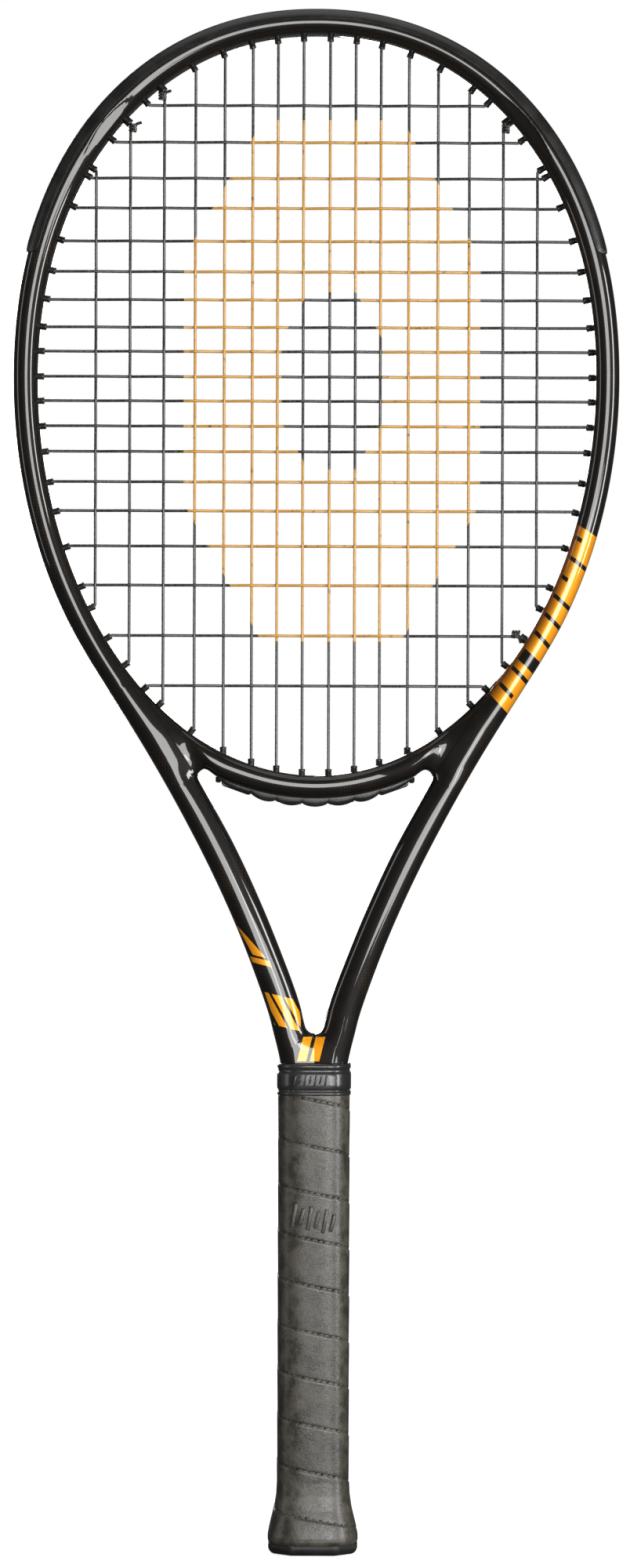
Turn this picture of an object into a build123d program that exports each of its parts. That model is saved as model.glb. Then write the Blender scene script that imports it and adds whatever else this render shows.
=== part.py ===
from build123d import *

import math
import os
from collections import namedtuple

# A tennis racket, 27 inches long with a head of 100 square inches, strung 16 by 19.
# +Z runs from the butt to the top of the head, the strings lie in the XZ plane and the
# face looks along -Y.  The origin is the middle of the underside of the butt cap.

# Driving dimensions, in millimetres
LENGTH = 685.8
HEAD_HALF_WIDTH = 123.9
HEAD_CENTRE_Z = 522.0
HEAD_DROP = 176.6
CROWN_POWER = 2.12
SEAT_POWER = 2.0

# The beam: its width lies in the string plane, its depth across it
BEAM_WIDTH = 10.9
CROWN_WIDTH = 10.1
SHOULDER_EXTRA = 1.2
BEAM_DEPTH = 24.8
SHAFT_DEPTH = 22.6
CORE_DEPTH = 19.0
CORNER = 4.6
WALL = 1.2
BUMPER = 0.9
HEAD_RISE = LENGTH - BUMPER - CROWN_WIDTH - HEAD_CENTRE_Z

# Middle line and width of the right shaft, from the hoop down to the butt
SHAFT = (
    (85.4, 384.3, 12.1),
    (70.3, 361.3, 13.4),
    (58.8, 341.6, 13.9),
    (43.6, 313.7, 14.1),
    (30.4, 285.8, 14.2),
    (19.1, 258.0, 14.3),
    (11.3, 232.0, 14.3),
)
CORE_TUBE_X = 6.4
CORE_TUBE_WIDTH = 12.2
WEB_DEPTH = 15.0
HOOP_ANGLES = (90, 75, 60, 45, 30, 15, 0, -15, -30, -41)
HANDLE_TOP = 206.0
SHAFT_START = 240.0
THROAT_BASE = 230.4

# String channel round the outside of the hoop
CHANNEL_DEPTH = 3.0
CHANNEL_HALF = 2.7
CHANNEL_END = 330.0
STRIP = 0.65
BUMPER_END = 577.0
BUMPER_WRAP = 4.5

# Strings and the barrels that lead them through the frame
STRING = 1.3
WEAVE = 0.78
LANE = 1.36
STRING_INSET = 1.0
BARREL = 2.9
BORE = 1.7
TIE_BARREL = 3.9
TIE_BORE = 2.9
TIE_SHIFT = 0.68
FIT = 0.1
REACH = 2.0
KINK = 2.9
MAINS = (5.9, 17.3, 28.5, 41.0, 54.0, 67.9, 83.0, 98.2)
CROSSES = (643.4, 627.0, 611.0, 597.7, 583.0, 569.4, 556.9, 544.7, 533.9, 522.7,
           511.9, 500.7, 489.4, 475.9, 463.0, 447.3, 429.9, 407.5, 385.2)
WEAVE_BEND = 8.0
LOOP_BEND = 1.25
KINK_BEND = 1.7
BRIDGE_MAINS = range(4, 12)

# Throat bridge
BRIDGE_BASE = 335.1
BRIDGE_SPAN = 50.0
BRIDGE_ARCH = 348.0
BRIDGE_DEPTH = 20.0
BRIDGE_EDGE = 3.0
BRIDGE_END = 64.0
SCALLOP = 3.7
SCALLOP_DIP = 1.7
SCALLOP_HALF = 43.5
STRIP_HALF = 3.4

# Handle, butt cap, grip and collar
PALLET = (28.9, 26.4)
PALLET_BASE = 8.0
BEVEL = 6.0
WRAP = 1.55
WRAP_BASE = 4.5
WRAP_TOP = 208.8
WRAP_PITCH = 20.6
WRAP_SEAM = 0.5
FLARE = ((4.5, 4.4), (8.0, 4.5), (14.0, 3.3), (20.0, 1.8), (26.0, 0.7), (32.0, 0.5))
CAP_TOP = 30.0
CAP_FLOOR = 3.0
RIM = (39.6, 35.8)
RIM_EDGE = 3.4
DOOR = (21.6, 14.6)
DOOR_GAP = 0.2
DOOR_THICK = 2.2
STAPLE_Z = 27.5
TACK_X = 6.2
TACK_Z = 22.5
COLLAR_BASE = 203.6
COLLAR_TOP = 217.6
COLLAR = (32.9, 30.4)
TAPE = 0.2

Station = namedtuple("Station", "centre outward width")
Port = namedtuple("Port", "rim axis shift")
Bend = namedtuple("Bend", "point radius")


# ---------------------------------------------------------------- outline of the head
def hoop(angle, out=0.0):
    """Point at an angle round the head, `out` millimetres outside the inner rim."""
    cosine = math.cos(math.radians(angle))
    sine = math.sin(math.radians(angle))
    upper = sine >= 0
    power = CROWN_POWER if upper else SEAT_POWER
    reach = HEAD_RISE if upper else HEAD_DROP
    across = math.copysign(abs(cosine) ** (2 / power), cosine)
    along = math.copysign(abs(sine) ** (2 / power), sine)
    slope_x = math.copysign(abs(across) ** (power - 1) / HEAD_HALF_WIDTH, cosine)
    slope_z = math.copysign(abs(along) ** (power - 1) / reach, sine)
    outward = Vector(slope_x, 0, slope_z).normalized()
    return Vector(HEAD_HALF_WIDTH * across, 0, HEAD_CENTRE_Z + reach * along) + outward * out


def beam_width(angle):
    """Width of the bare beam: widest at the sides and shoulders, slimmest at the crown."""
    if angle < 0:
        return BEAM_WIDTH
    side = math.cos(math.radians(angle)) ** 2
    shoulder = math.sin(math.radians(2 * angle)) ** 2
    return CROWN_WIDTH + (BEAM_WIDTH - CROWN_WIDTH) * side + SHOULDER_EXTRA * shoulder


def beam_depth(z):
    """Depth of the beam across the string plane at a height."""
    blend = min(max((z - HANDLE_TOP) / (SHAFT_START - HANDLE_TOP), 0), 1)
    blend = blend * blend * (3 - 2 * blend)
    swell = math.sin(math.pi * min(max((z - SHAFT_START) / (LENGTH - SHAFT_START), 0), 1))
    return CORE_DEPTH + (SHAFT_DEPTH - CORE_DEPTH) * blend + (BEAM_DEPTH - SHAFT_DEPTH) * swell


def flipped(point):
    return Vector(-point.X, point.Y, point.Z)


def hoop_station(angle):
    width = beam_width(angle)
    return Station(hoop(angle, width / 2), hoop(angle, 1) - hoop(angle), width)


def shaft_stations():
    """Stations down the right shaft, each square to the line through its neighbours."""
    line = [hoop_station(HOOP_ANGLES[-1]).centre]
    line += [Vector(x, 0, z) for x, z, _ in SHAFT]
    line.append(Vector(CORE_TUBE_X, 0, HANDLE_TOP))
    stations = []
    for before, centre, after, row in zip(line, line[1:], line[2:], SHAFT):
        down = (after - before).normalized()
        stations.append(Station(centre, Vector(-down.Z, 0, down.X), row[2]))
    return stations + [Station(line[-1], Vector(1, 0, 0), CORE_TUBE_WIDTH)]


def all_stations():
    """Stations from the top of the handle on the left, round the head, to the right."""
    right = [hoop_station(angle) for angle in HOOP_ANGLES] + shaft_stations()
    left = [Station(flipped(s.centre), flipped(s.outward), s.width) for s in right[:0:-1]]
    return left + right


STATIONS = all_stations()
CHANNELLED = [s for s in STATIONS if s.centre.Z > CHANNEL_END]
CROWNED = [s for s in STATIONS if s.centre.Z > HEAD_CENTRE_Z]


# ---------------------------------------------------------------- general shapes
def beam_section(station, inner, outer, side, corner):
    """Rounded section of the beam, moved in from its inner, outer and flat sides."""
    width = station.width - inner - outer
    depth = beam_depth(station.centre.Z) - 2 * side
    centre = station.centre + station.outward * (inner - outer) / 2
    along = station.outward.cross(Vector(0, 1, 0))
    plane = Plane(origin=centre, x_dir=station.outward, z_dir=along)
    return plane * RectangleRounded(width, depth, corner)


def outer_line(inset, lane=0.0):
    """Line round the outside of the frame, `inset` inside its outer edge."""
    across = Vector(0, lane, 0)
    points = [s.centre + s.outward * (s.width / 2 - inset) + across for s in CHANNELLED]
    return Spline(*points)


def outer_band(near, far, half_depth):
    """Solid band round the outside of the frame between two insets."""
    first = outer_line(near)
    second = outer_line(far)
    ends = Line(first @ 0, second @ 0) + Line(first @ 1, second @ 1)
    face = make_face(first + second + ends)
    return extrude(face, half_depth, dir=(0, 1, 0), both=True)


def slab(low, high, x_low=-200, x_high=200):
    """Large block between two heights, and between two widths if given."""
    size = (x_high - x_low, 100, high - low)
    return Pos((x_low + x_high) / 2, 0, (low + high) / 2) * Box(*size)


def rod(start, axis, length, radius):
    """Round rod from a point along a direction."""
    return extrude(Plane(origin=start, z_dir=axis) * Circle(radius), length)


def bent_wire(bends):
    """Straight runs joined by tangent arcs, one arc at each inner point."""
    edges = []
    start = bends[0].point
    for before, bend, after in zip(bends, bends[1:], bends[2:]):
        into = bend.point - before.point
        away = after.point - bend.point
        half = math.radians(into.get_angle(away)) / 2
        if half < 0.001:
            continue
        reach = min(bend.radius * math.tan(half), 0.45 * into.length, 0.45 * away.length)
        radius = reach / math.tan(half)
        into = into.normalized()
        away = away.normalized()
        entry = bend.point - into * reach
        leave = bend.point + away * reach
        middle = bend.point + (away - into).normalized() * radius * (1 / math.cos(half) - 1)
        edges.append(Edge.make_line(start, entry))
        edges.append(Edge.make_three_point_arc(entry, middle, leave))
        start = leave
    edges.append(Edge.make_line(start, bends[-1].point))
    return Wire(edges)


def tube(bends, diameter):
    """Round cord along a bent wire."""
    wire = bent_wire(bends)
    section = Plane(origin=wire @ 0, z_dir=wire % 0) * Circle(diameter / 2)
    return sweep(section, path=wire)


def octagon(z, width, depth, bevel=BEVEL):
    """Eight-sided section of the handle at a height."""
    right = width / 2
    back = depth / 2
    corners = [(right, back - bevel), (right - bevel, back)]
    corners += [(-x, y) for x, y in corners[::-1]]
    corners += [(-x, -y) for x, y in corners]
    return Plane.XY.offset(z) * make_face(Polyline(*corners, close=True))


def prism(low, high, width, depth):
    return extrude(octagon(low, width, depth), high - low)


# ---------------------------------------------------------------- string ports
def angle_where(measure, target, low, high):
    """Angle at which a steadily changing measure of the head reaches a target."""
    rising = measure(high) > measure(low)
    for _ in range(40):
        middle = (low + high) / 2
        if (measure(middle) < target) == rising:
            low = middle
        else:
            high = middle
    return middle


def hoop_port(angle, mirrored, shift=0.0):
    """Port square to the rim at an angle on the right, or its mirror image."""
    rim = hoop(angle)
    axis = hoop(angle, 1) - rim
    if mirrored:
        return Port(flipped(rim), flipped(axis), shift)
    return Port(rim, axis, shift)


def main_port(x, low, high, shift=0.0):
    angle = angle_where(lambda a: hoop(a, -KINK).X, abs(x), low, high)
    return hoop_port(angle, x < 0, shift)


def bridge_port(x):
    angle = angle_where(lambda a: hoop(a).X, abs(x), -90, 0)
    return Port(Vector(x, 0, hoop(angle).Z), Vector(0, 0, -1), 0.0)


def cross_port(z, mirrored, shift=0.0):
    angle = angle_where(lambda a: hoop(a, -KINK).Z, z, -90, 90)
    return hoop_port(angle, mirrored, shift)


def kink(port):
    """Where the string leaves its barrel and turns into the string bed."""
    return port.rim - port.axis * KINK


MAIN_X = [-x for x in MAINS[::-1]] + list(MAINS)
LAST_MAIN = len(MAIN_X) - 1
LAST_CROSS = len(CROSSES) - 1
MAIN_TIES = {1: TIE_SHIFT, 2: -TIE_SHIFT, LAST_MAIN - 1: TIE_SHIFT}
CROSS_TIES = {LAST_CROSS - 1: -TIE_SHIFT}

TOP_PORTS = [main_port(x, 0, 90, MAIN_TIES.get(i, 0.0)) for i, x in enumerate(MAIN_X)]
SEAT_PORTS = [bridge_port(x) if i in BRIDGE_MAINS else main_port(x, -90, 0)
              for i, x in enumerate(MAIN_X)]
LEFT_PORTS = [cross_port(z, True) for z in CROSSES]
RIGHT_PORTS = [cross_port(z, False, CROSS_TIES.get(j, 0.0)) for j, z in enumerate(CROSSES)]
HOOP_PORTS = TOP_PORTS + LEFT_PORTS + RIGHT_PORTS
HOOP_PORTS += [port for i, port in enumerate(SEAT_PORTS) if i not in BRIDGE_MAINS]
BRIDGE_PORTS = [SEAT_PORTS[i] for i in BRIDGE_MAINS]


def port_rod(port, diameter, tie_diameter, inside, length):
    """Rod on a port's axis, which starts `inside` millimetres within the head."""
    width = tie_diameter if port.shift else diameter
    start = port.rim - port.axis * inside + Vector(0, port.shift, 0)
    return rod(start, port.axis, length, width / 2)


def frame_holes(ports):
    return [port_rod(port, BARREL + FIT, TIE_BARREL + FIT, 6, 40) for port in ports]


def exit_point(port, line):
    """Where a port's axis crosses a line round the frame."""
    probe = Line(port.rim, port.rim + port.axis * 40)
    return Vector(*(line & probe).vertices()[0])


def barrels(ports, line):
    """Grommet barrels from the strip at the channel floor to inside the head."""
    shapes = []
    for port in ports:
        length = (exit_point(port, line) - port.rim).length + REACH
        shapes.append(port_rod(port, BARREL, TIE_BARREL, REACH, length))
    return shapes


def bores(ports):
    return [port_rod(port, BORE, TIE_BORE, REACH + 1, 40) for port in ports]


# ---------------------------------------------------------------- frame
def core_tubes(inset, corner, base):
    """The two tubes of the handle, side by side, from the shafts down to a height."""
    tube_face = RectangleRounded(CORE_TUBE_WIDTH - 2 * inset, CORE_DEPTH - 2 * inset, corner)
    tube_solid = extrude(Plane.XY.offset(base) * tube_face, HANDLE_TOP - base)
    return Pos(-CORE_TUBE_X, 0, 0) * tube_solid + Pos(CORE_TUBE_X, 0, 0) * tube_solid


def core_web():
    """Web between the tubes of the handle, with the rounded root of the throat."""
    top = ThreePointArc((-6, 0, 236), (0, 0, THROAT_BASE), (6, 0, 236))
    sides = Polyline((6, 0, 236), (1.6, 0, HANDLE_TOP), (1.6, 0, PALLET_BASE),
                     (-1.6, 0, PALLET_BASE), (-1.6, 0, HANDLE_TOP), (-6, 0, 236))
    return extrude(make_face(top + sides), WEB_DEPTH / 2, dir=(0, 1, 0), both=True)


def hairpin_blank():
    """Solid outside shape of the hoop, shafts and handle core, with the channel."""
    beam = loft([beam_section(s, 0, 0, 0, CORNER) for s in STATIONS])
    beam = beam - outer_band(CHANNEL_DEPTH, -4, CHANNEL_HALF)
    return beam + core_tubes(0, CORNER, PALLET_BASE) + core_web()


def hairpin_cavity():
    """Bladder space inside the frame, open at the butt end."""
    sections = []
    for station in STATIONS:
        channelled = station.centre.Z > CHANNEL_END
        outer = WALL + CHANNEL_DEPTH if channelled else WALL
        sections.append(beam_section(station, WALL, outer, WALL, 1.9))
    return loft(sections) + core_tubes(WALL, 1.9, PALLET_BASE - 1)


def frame_hairpin(blank):
    return blank - hairpin_cavity() - frame_holes(HOOP_PORTS)


def bridge_arc(drop=0.0):
    """Underside of the bridge, or a line below it."""
    return ThreePointArc((-BRIDGE_SPAN, 0, BRIDGE_ARCH - drop), (0, 0, BRIDGE_BASE - drop),
                         (BRIDGE_SPAN, 0, BRIDGE_ARCH - drop))


def throat_bridge(blank):
    """Yoke under the strings, moulded between the two sides of the hairpin."""
    rim = [hoop(angle) for angle in range(-132, -47, 12)]
    under = bridge_arc()
    sides = Line(rim[0], under @ 0 + Vector(-14, 0, -2)) + Line(rim[-1], under @ 1 + Vector(14, 0, -2))
    feet = Line(under @ 0, under @ 0 + Vector(-14, 0, -2)) + Line(under @ 1, under @ 1 + Vector(14, 0, -2))
    face = make_face(Spline(*rim) + under + sides + feet)
    body = extrude(face, BRIDGE_DEPTH / 2, dir=(0, 1, 0), both=True)
    long_edges = [e for e in body.edges() if e.length > 90]
    body = fillet(long_edges, BRIDGE_EDGE)
    body = (body & slab(300, 400, -BRIDGE_END, BRIDGE_END)) - blank
    body = body.solids().sort_by_distance((0, 0, BRIDGE_BASE))[0]
    through = [port for port in HOOP_PORTS if abs(port.rim.X) < BRIDGE_END and port.rim.Z < 400]
    return body - frame_holes(BRIDGE_PORTS + through)


def bumper_guard(blank):
    """Cap over the crown, with the string channel and barrels of the upper ports."""
    cover = loft([beam_section(s, 0, -BUMPER, -BUMPER, CORNER + 0.4) for s in CROWNED])
    cover = cover & outer_band(BUMPER_WRAP, -3, 30) & slab(BUMPER_END, LENGTH + 10)
    guard = cover - blank - outer_band(CHANNEL_DEPTH - STRIP, -3, CHANNEL_HALF - 0.55)
    ports = [port for port in HOOP_PORTS if port.rim.Z > BUMPER_END]
    floor = outer_line(CHANNEL_DEPTH - STRIP / 2)
    return guard + barrels(ports, floor) - bores(ports)


def grommet_strip(side):
    """Strip in the channel down one side of the hoop, with its barrels."""
    edges = sorted((0, 200 * side))
    strip = outer_band(CHANNEL_DEPTH, CHANNEL_DEPTH - STRIP, CHANNEL_HALF - FIT)
    strip = strip & slab(CHANNEL_END + 6, BUMPER_END - FIT, *edges)
    ports = [p for p in HOOP_PORTS if p.rim.Z < BUMPER_END and p.rim.X * side > 0]
    floor = outer_line(CHANNEL_DEPTH - STRIP / 2)
    return strip + barrels(ports, floor) - bores(ports)


def scallop_line():
    """Wavy lower edge of the bridge strip, deepest between each pair of mains."""
    arc = bridge_arc()
    points = []
    steps = 16
    for step in range(steps + 1):
        x = SCALLOP_HALF * (2 * step / steps - 1)
        level = exit_point(Port(Vector(x, 0, 360), Vector(0, 0, -1), 0.0), arc)
        drop = SCALLOP if step % 2 else SCALLOP_DIP
        points.append(level - Vector(0, 0, drop))
    return Spline(*points)


def bridge_grommet_strip():
    """Scalloped strip under the bridge that holds the eight middle mains."""
    low = scallop_line()
    high = ThreePointArc(Vector(-SCALLOP_HALF, 0, (low @ 0).Z + SCALLOP_DIP), (0, 0, BRIDGE_BASE),
                         Vector(SCALLOP_HALF, 0, (low @ 1).Z + SCALLOP_DIP))
    face = make_face(low + high + Line(low @ 0, high @ 0) + Line(low @ 1, high @ 1))
    strip = extrude(face, STRIP_HALF, dir=(0, 1, 0), both=True)
    upper = bridge_arc(1.0)
    lower = bridge_arc(9.0)
    walls = Line(upper @ 0, lower @ 0) + Line(upper @ 1, lower @ 1)
    groove = extrude(make_face(upper + lower + walls), STRING, dir=(0, 1, 0), both=True)
    floor = bridge_arc(0.5)
    return strip - groove + barrels(BRIDGE_PORTS, floor) - bores(BRIDGE_PORTS)


# ---------------------------------------------------------------- strings
def crosses_over(i, j):
    """Whether main i meets cross j inside the string bed."""
    inside = abs(MAIN_X[i]) < kink(RIGHT_PORTS[j]).X - 1
    return inside and kink(SEAT_PORTS[i]).Z + 1 < CROSSES[j] < kink(TOP_PORTS[i]).Z - 1


def weave(i, j):
    """Height of main i over the string plane at cross j; the cross has the opposite."""
    return WEAVE if (i + j) % 2 else -WEAVE


def main_run(i):
    """Main string i from its top barrel to its lower one."""
    run = [Bend(kink(TOP_PORTS[i]), KINK_BEND)]
    for j, z in enumerate(CROSSES):
        if crosses_over(i, j):
            run.append(Bend(Vector(MAIN_X[i], weave(i, j), z), WEAVE_BEND))
    return run + [Bend(kink(SEAT_PORTS[i]), KINK_BEND)]


def cross_run(j):
    """Cross string j from its left barrel to its right one."""
    run = [Bend(kink(LEFT_PORTS[j]), KINK_BEND)]
    for i, x in enumerate(MAIN_X):
        if crosses_over(i, j):
            run.append(Bend(Vector(x, -weave(i, j), CROSSES[j]), WEAVE_BEND))
    return run + [Bend(kink(RIGHT_PORTS[j]), KINK_BEND)]


def lane_points(line, start, end, lane):
    """Points along the channel between two exits, moved aside into a lane."""
    first = line.param_at_point(start)
    last = line.param_at_point(end)
    gap = abs(last - first) * line.length
    count = max(1, round((gap - 6) / 7))
    margin = 3 / gap
    shares = [margin + (1 - 2 * margin) * k / count for k in range(count + 1)]
    points = [line @ (first + (last - first) * share) for share in shares]
    return [Bend(point + Vector(0, lane, 0), WEAVE_BEND) for point in points]


def outside_loop(start, end, lane):
    """String from one port to the next along the channel outside the hoop."""
    line = outer_line(STRING_INSET)
    first = exit_point(start, line)
    last = exit_point(end, line)
    middle = lane_points(line, first, last, lane)
    return [Bend(first, LOOP_BEND)] + middle + [Bend(last, LOOP_BEND)]


def bridge_loop(start, end):
    """String from one port to the next under the bridge."""
    line = bridge_arc(1.0 + STRING)
    return [Bend(exit_point(start, line), LOOP_BEND), Bend(exit_point(end, line), LOOP_BEND)]


def tie_off(start, port, lane):
    """String from an exit back in through the side of a shared port, to its knot."""
    line = outer_line(STRING_INSET)
    first = exit_point(start, line)
    last = exit_point(port, line)
    across = Vector(0, lane, 0)
    end = port.rim - port.axis * (KINK - 0.4) + across
    middle = lane_points(line, first, last, lane)
    return [Bend(first, LOOP_BEND)] + middle + [Bend(last + across, LOOP_BEND), Bend(end, 0)]


def main_string():
    """Sixteen mains and their loops, from one knot to the other."""
    bends = tie_off(TOP_PORTS[0], TOP_PORTS[1], LANE)[::-1]
    for i in range(LAST_MAIN + 1):
        downward = i % 2 == 0
        bends += main_run(i) if downward else main_run(i)[::-1]
        ports = SEAT_PORTS if downward else TOP_PORTS
        if i == LAST_MAIN:
            break
        if downward and i in BRIDGE_MAINS:
            bends += bridge_loop(ports[i], ports[i + 1])
        else:
            bends += outside_loop(ports[i], ports[i + 1], LANE)
    bends += tie_off(TOP_PORTS[LAST_MAIN], TOP_PORTS[LAST_MAIN - 1], LANE)
    return tube(bends, STRING)


def cross_string():
    """Nineteen crosses and their loops, from the upper knot to the lower one."""
    bends = tie_off(LEFT_PORTS[0], TOP_PORTS[2], -LANE)[::-1]
    for j in range(LAST_CROSS + 1):
        rightward = j % 2 == 0
        bends += cross_run(j) if rightward else cross_run(j)[::-1]
        ports = RIGHT_PORTS if rightward else LEFT_PORTS
        if j < LAST_CROSS:
            bends += outside_loop(ports[j], ports[j + 1], -LANE)
    bends += tie_off(RIGHT_PORTS[LAST_CROSS], RIGHT_PORTS[LAST_CROSS - 1], -LANE)
    return tube(bends, STRING)


def knot(port, run):
    """Two turns of string drawn tight round the start of a run, with a cut tail."""
    along = (run[1].point - run[0].point).normalized()
    turn = STRING + 0.08
    first = run[0].point + along * 1.5
    second = first + along * (STRING - 0.3)
    side = Vector(0, math.copysign(turn, port.shift), 0)
    tail_way = along.cross(side).normalized()
    shape = Plane(origin=first, z_dir=along) * Torus(turn, STRING / 2)
    shape = shape + Plane(origin=second, z_dir=along) * Torus(turn, STRING / 2)
    return shape + rod(second + side * 1.1, tail_way, 4, STRING / 2)


# ---------------------------------------------------------------- handle
def handle_pallet(blank):
    return prism(PALLET_BASE, HANDLE_TOP, *PALLET) - blank


def flared(grow):
    """Handle outline that flares over the butt cap, grown by `grow` on each side."""
    sections = []
    for z, flare in FLARE:
        extra = 2 * (flare + grow)
        sections.append(octagon(z, PALLET[0] + extra, PALLET[1] + extra, BEVEL + 0.4 * flare))
    return loft(sections)


def butt_cap():
    """Flared cap over the end of the pallet, with a lip below the grip."""
    rim = extrude(octagon(0, *RIM, BEVEL + 3), WRAP_BASE)
    rim = fillet(rim.edges().group_by(Axis.Z)[0], RIM_EDGE)
    rim = fillet(rim.edges().filter_by(Axis.Z), 4)
    body = rim + (flared(0) & slab(WRAP_BASE, CAP_TOP))
    pocket = prism(PALLET_BASE, CAP_TOP + 5, *PALLET)
    store = extrude(Plane.XY.offset(CAP_FLOOR) * RectangleRounded(25, 19, 3), 10)
    opening = extrude(RectangleRounded(DOOR[0] + DOOR_GAP, DOOR[1] + DOOR_GAP, 3), CAP_FLOOR)
    return body - pocket - store - opening


def butt_cap_door():
    """Flat door in the base of the cap, with two snap legs."""
    plate = extrude(RectangleRounded(DOOR[0], DOOR[1], 2.9), DOOR_THICK)
    leg = Box(1.0, 6, 3.6, align=(Align.CENTER, Align.CENTER, Align.MIN))
    legs = [Pos(side * (DOOR[0] / 2 - 1.2), 0, DOOR_THICK) * leg for side in (-1, 1)]
    slot = Pos(0, -DOOR[1] / 2 + 2.2, 0) * Box(6, 1.4, 1.2)
    return plate + legs - slot


def staple(side):
    """Staple through the skirt of the cap into the pallet, on the front or the back."""
    skin = PALLET[1] / 2 + 0.75
    crown = Pos(0, side * (skin + 0.25), STAPLE_Z) * Box(9, 0.5, 0.9)
    leg = Pos(0, side * (skin - 1.4), STAPLE_Z) * Box(0.7, 3.2, 0.9)
    return crown + Pos(4.15, 0, 0) * leg + Pos(-4.15, 0, 0) * leg


def grip_tack():
    """Tack that holds the start of the grip on the back of the cap."""
    skin = PALLET[1] / 2 + 1.3
    head = rod((TACK_X, skin + 0.6, TACK_Z), (0, -1, 0), 0.6, 2)
    shank = rod((TACK_X, skin + 0.3, TACK_Z), (0, -1, 0), 4, 0.5)
    return head + shank


def seam_wire():
    """Line that climbs round the outside of the grip, one turn to each pitch."""
    half_width = PALLET[0] / 2 + WRAP
    half_depth = PALLET[1] / 2 + WRAP
    corners = [(half_width, half_depth - BEVEL), (half_width - BEVEL, half_depth)]
    corners += [(-x, y) for x, y in corners[::-1]]
    corners += [(-x, -y) for x, y in corners]
    turns = int((HANDLE_TOP - CAP_TOP) / WRAP_PITCH)
    bends = []
    for step in range(8 * turns + 1):
        x, y = corners[step % 8]
        bends.append(Bend(Vector(x, y, CAP_TOP + 6 + WRAP_PITCH * step / 8), 3))
    return bends


def grip_wrap(cap, blank):
    """Cushioned grip round the pallet and over the flare of the cap."""
    width = PALLET[0] + 2 * WRAP
    depth = PALLET[1] + 2 * WRAP
    sleeve = flared(WRAP - 0.45) + prism(FLARE[-1][0], COLLAR_BASE, width, depth)
    neck = prism(COLLAR_BASE, WRAP_TOP, PALLET[0] + 1.4, PALLET[1] + 1.4)
    inner = prism(0, WRAP_TOP + 1, *PALLET)
    return sleeve + neck - inner - cap - blank - tube(seam_wire(), 2 * WRAP_SEAM)


def finishing_tape():
    """Tape round the top end of the grip, under the collar."""
    width = PALLET[0] + 1.4
    depth = PALLET[1] + 1.4
    outer = prism(COLLAR_BASE + 0.6, WRAP_TOP, width + 2 * TAPE, depth + 2 * TAPE)
    return outer - prism(COLLAR_BASE, WRAP_TOP, width, depth)


def collar(blank):
    """Rubber collar with a lip at each end, snug round the shafts at its top."""
    body = prism(COLLAR_BASE + 2.4, COLLAR_TOP - 3.4, *COLLAR)
    lips = [prism(COLLAR_BASE, COLLAR_BASE + 1.6, *COLLAR)]
    lips.append(prism(COLLAR_TOP - 2.4, COLLAR_TOP, *COLLAR))
    necks = prism(COLLAR_BASE, COLLAR_TOP, COLLAR[0] - 1, COLLAR[1] - 1)
    inside = prism(COLLAR_BASE - 1, WRAP_TOP + 0.4, PALLET[0] + 1.9, PALLET[1] + 1.9)
    return body + lips + necks - inside - blank


# ---------------------------------------------------------------- parts
def make_parts():
    blank = hairpin_blank()
    cap = butt_cap()
    parts = {
        "frame_hairpin": frame_hairpin(blank),
        "throat_bridge": throat_bridge(blank),
        "bumper_guard": bumper_guard(blank),
        "left_grommet_strip": grommet_strip(-1),
        "right_grommet_strip": grommet_strip(1),
        "bridge_grommet_strip": bridge_grommet_strip(),
        "main_string": main_string(),
        "cross_string": cross_string(),
        "main_knot_left": knot(TOP_PORTS[1], main_run(1)),
        "main_knot_right": knot(TOP_PORTS[LAST_MAIN - 1], main_run(LAST_MAIN - 1)),
        "cross_start_knot": knot(TOP_PORTS[2], main_run(2)),
        "cross_end_knot": knot(RIGHT_PORTS[LAST_CROSS - 1], cross_run(LAST_CROSS - 1)[::-1]),
    }
    fasteners = {
        "butt_cap_staple_front": staple(-1),
        "butt_cap_staple_back": staple(1),
        "grip_tack": grip_tack(),
    }
    metal = list(fasteners.values())
    parts["handle_pallet"] = handle_pallet(blank) - metal
    parts["butt_cap"] = cap - metal
    parts["butt_cap_door"] = butt_cap_door()
    parts["grip_wrap"] = grip_wrap(cap, blank) - metal
    parts["finishing_tape"] = finishing_tape()
    parts["collar"] = collar(blank)
    return parts | fasteners


os.makedirs("parts", exist_ok=True)
for name, shape in make_parts().items():
    solids = shape.solids()
    whole = solids[0] if len(solids) == 1 else Compound(solids)
    export_step(whole, f"parts/{name}.step")
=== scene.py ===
"""Strung tennis racket: its visual model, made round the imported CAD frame."""
import logging
import math
from dataclasses import dataclass, field
from enum import Enum
from typing import Any, Callable, Iterable, Sequence

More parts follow.
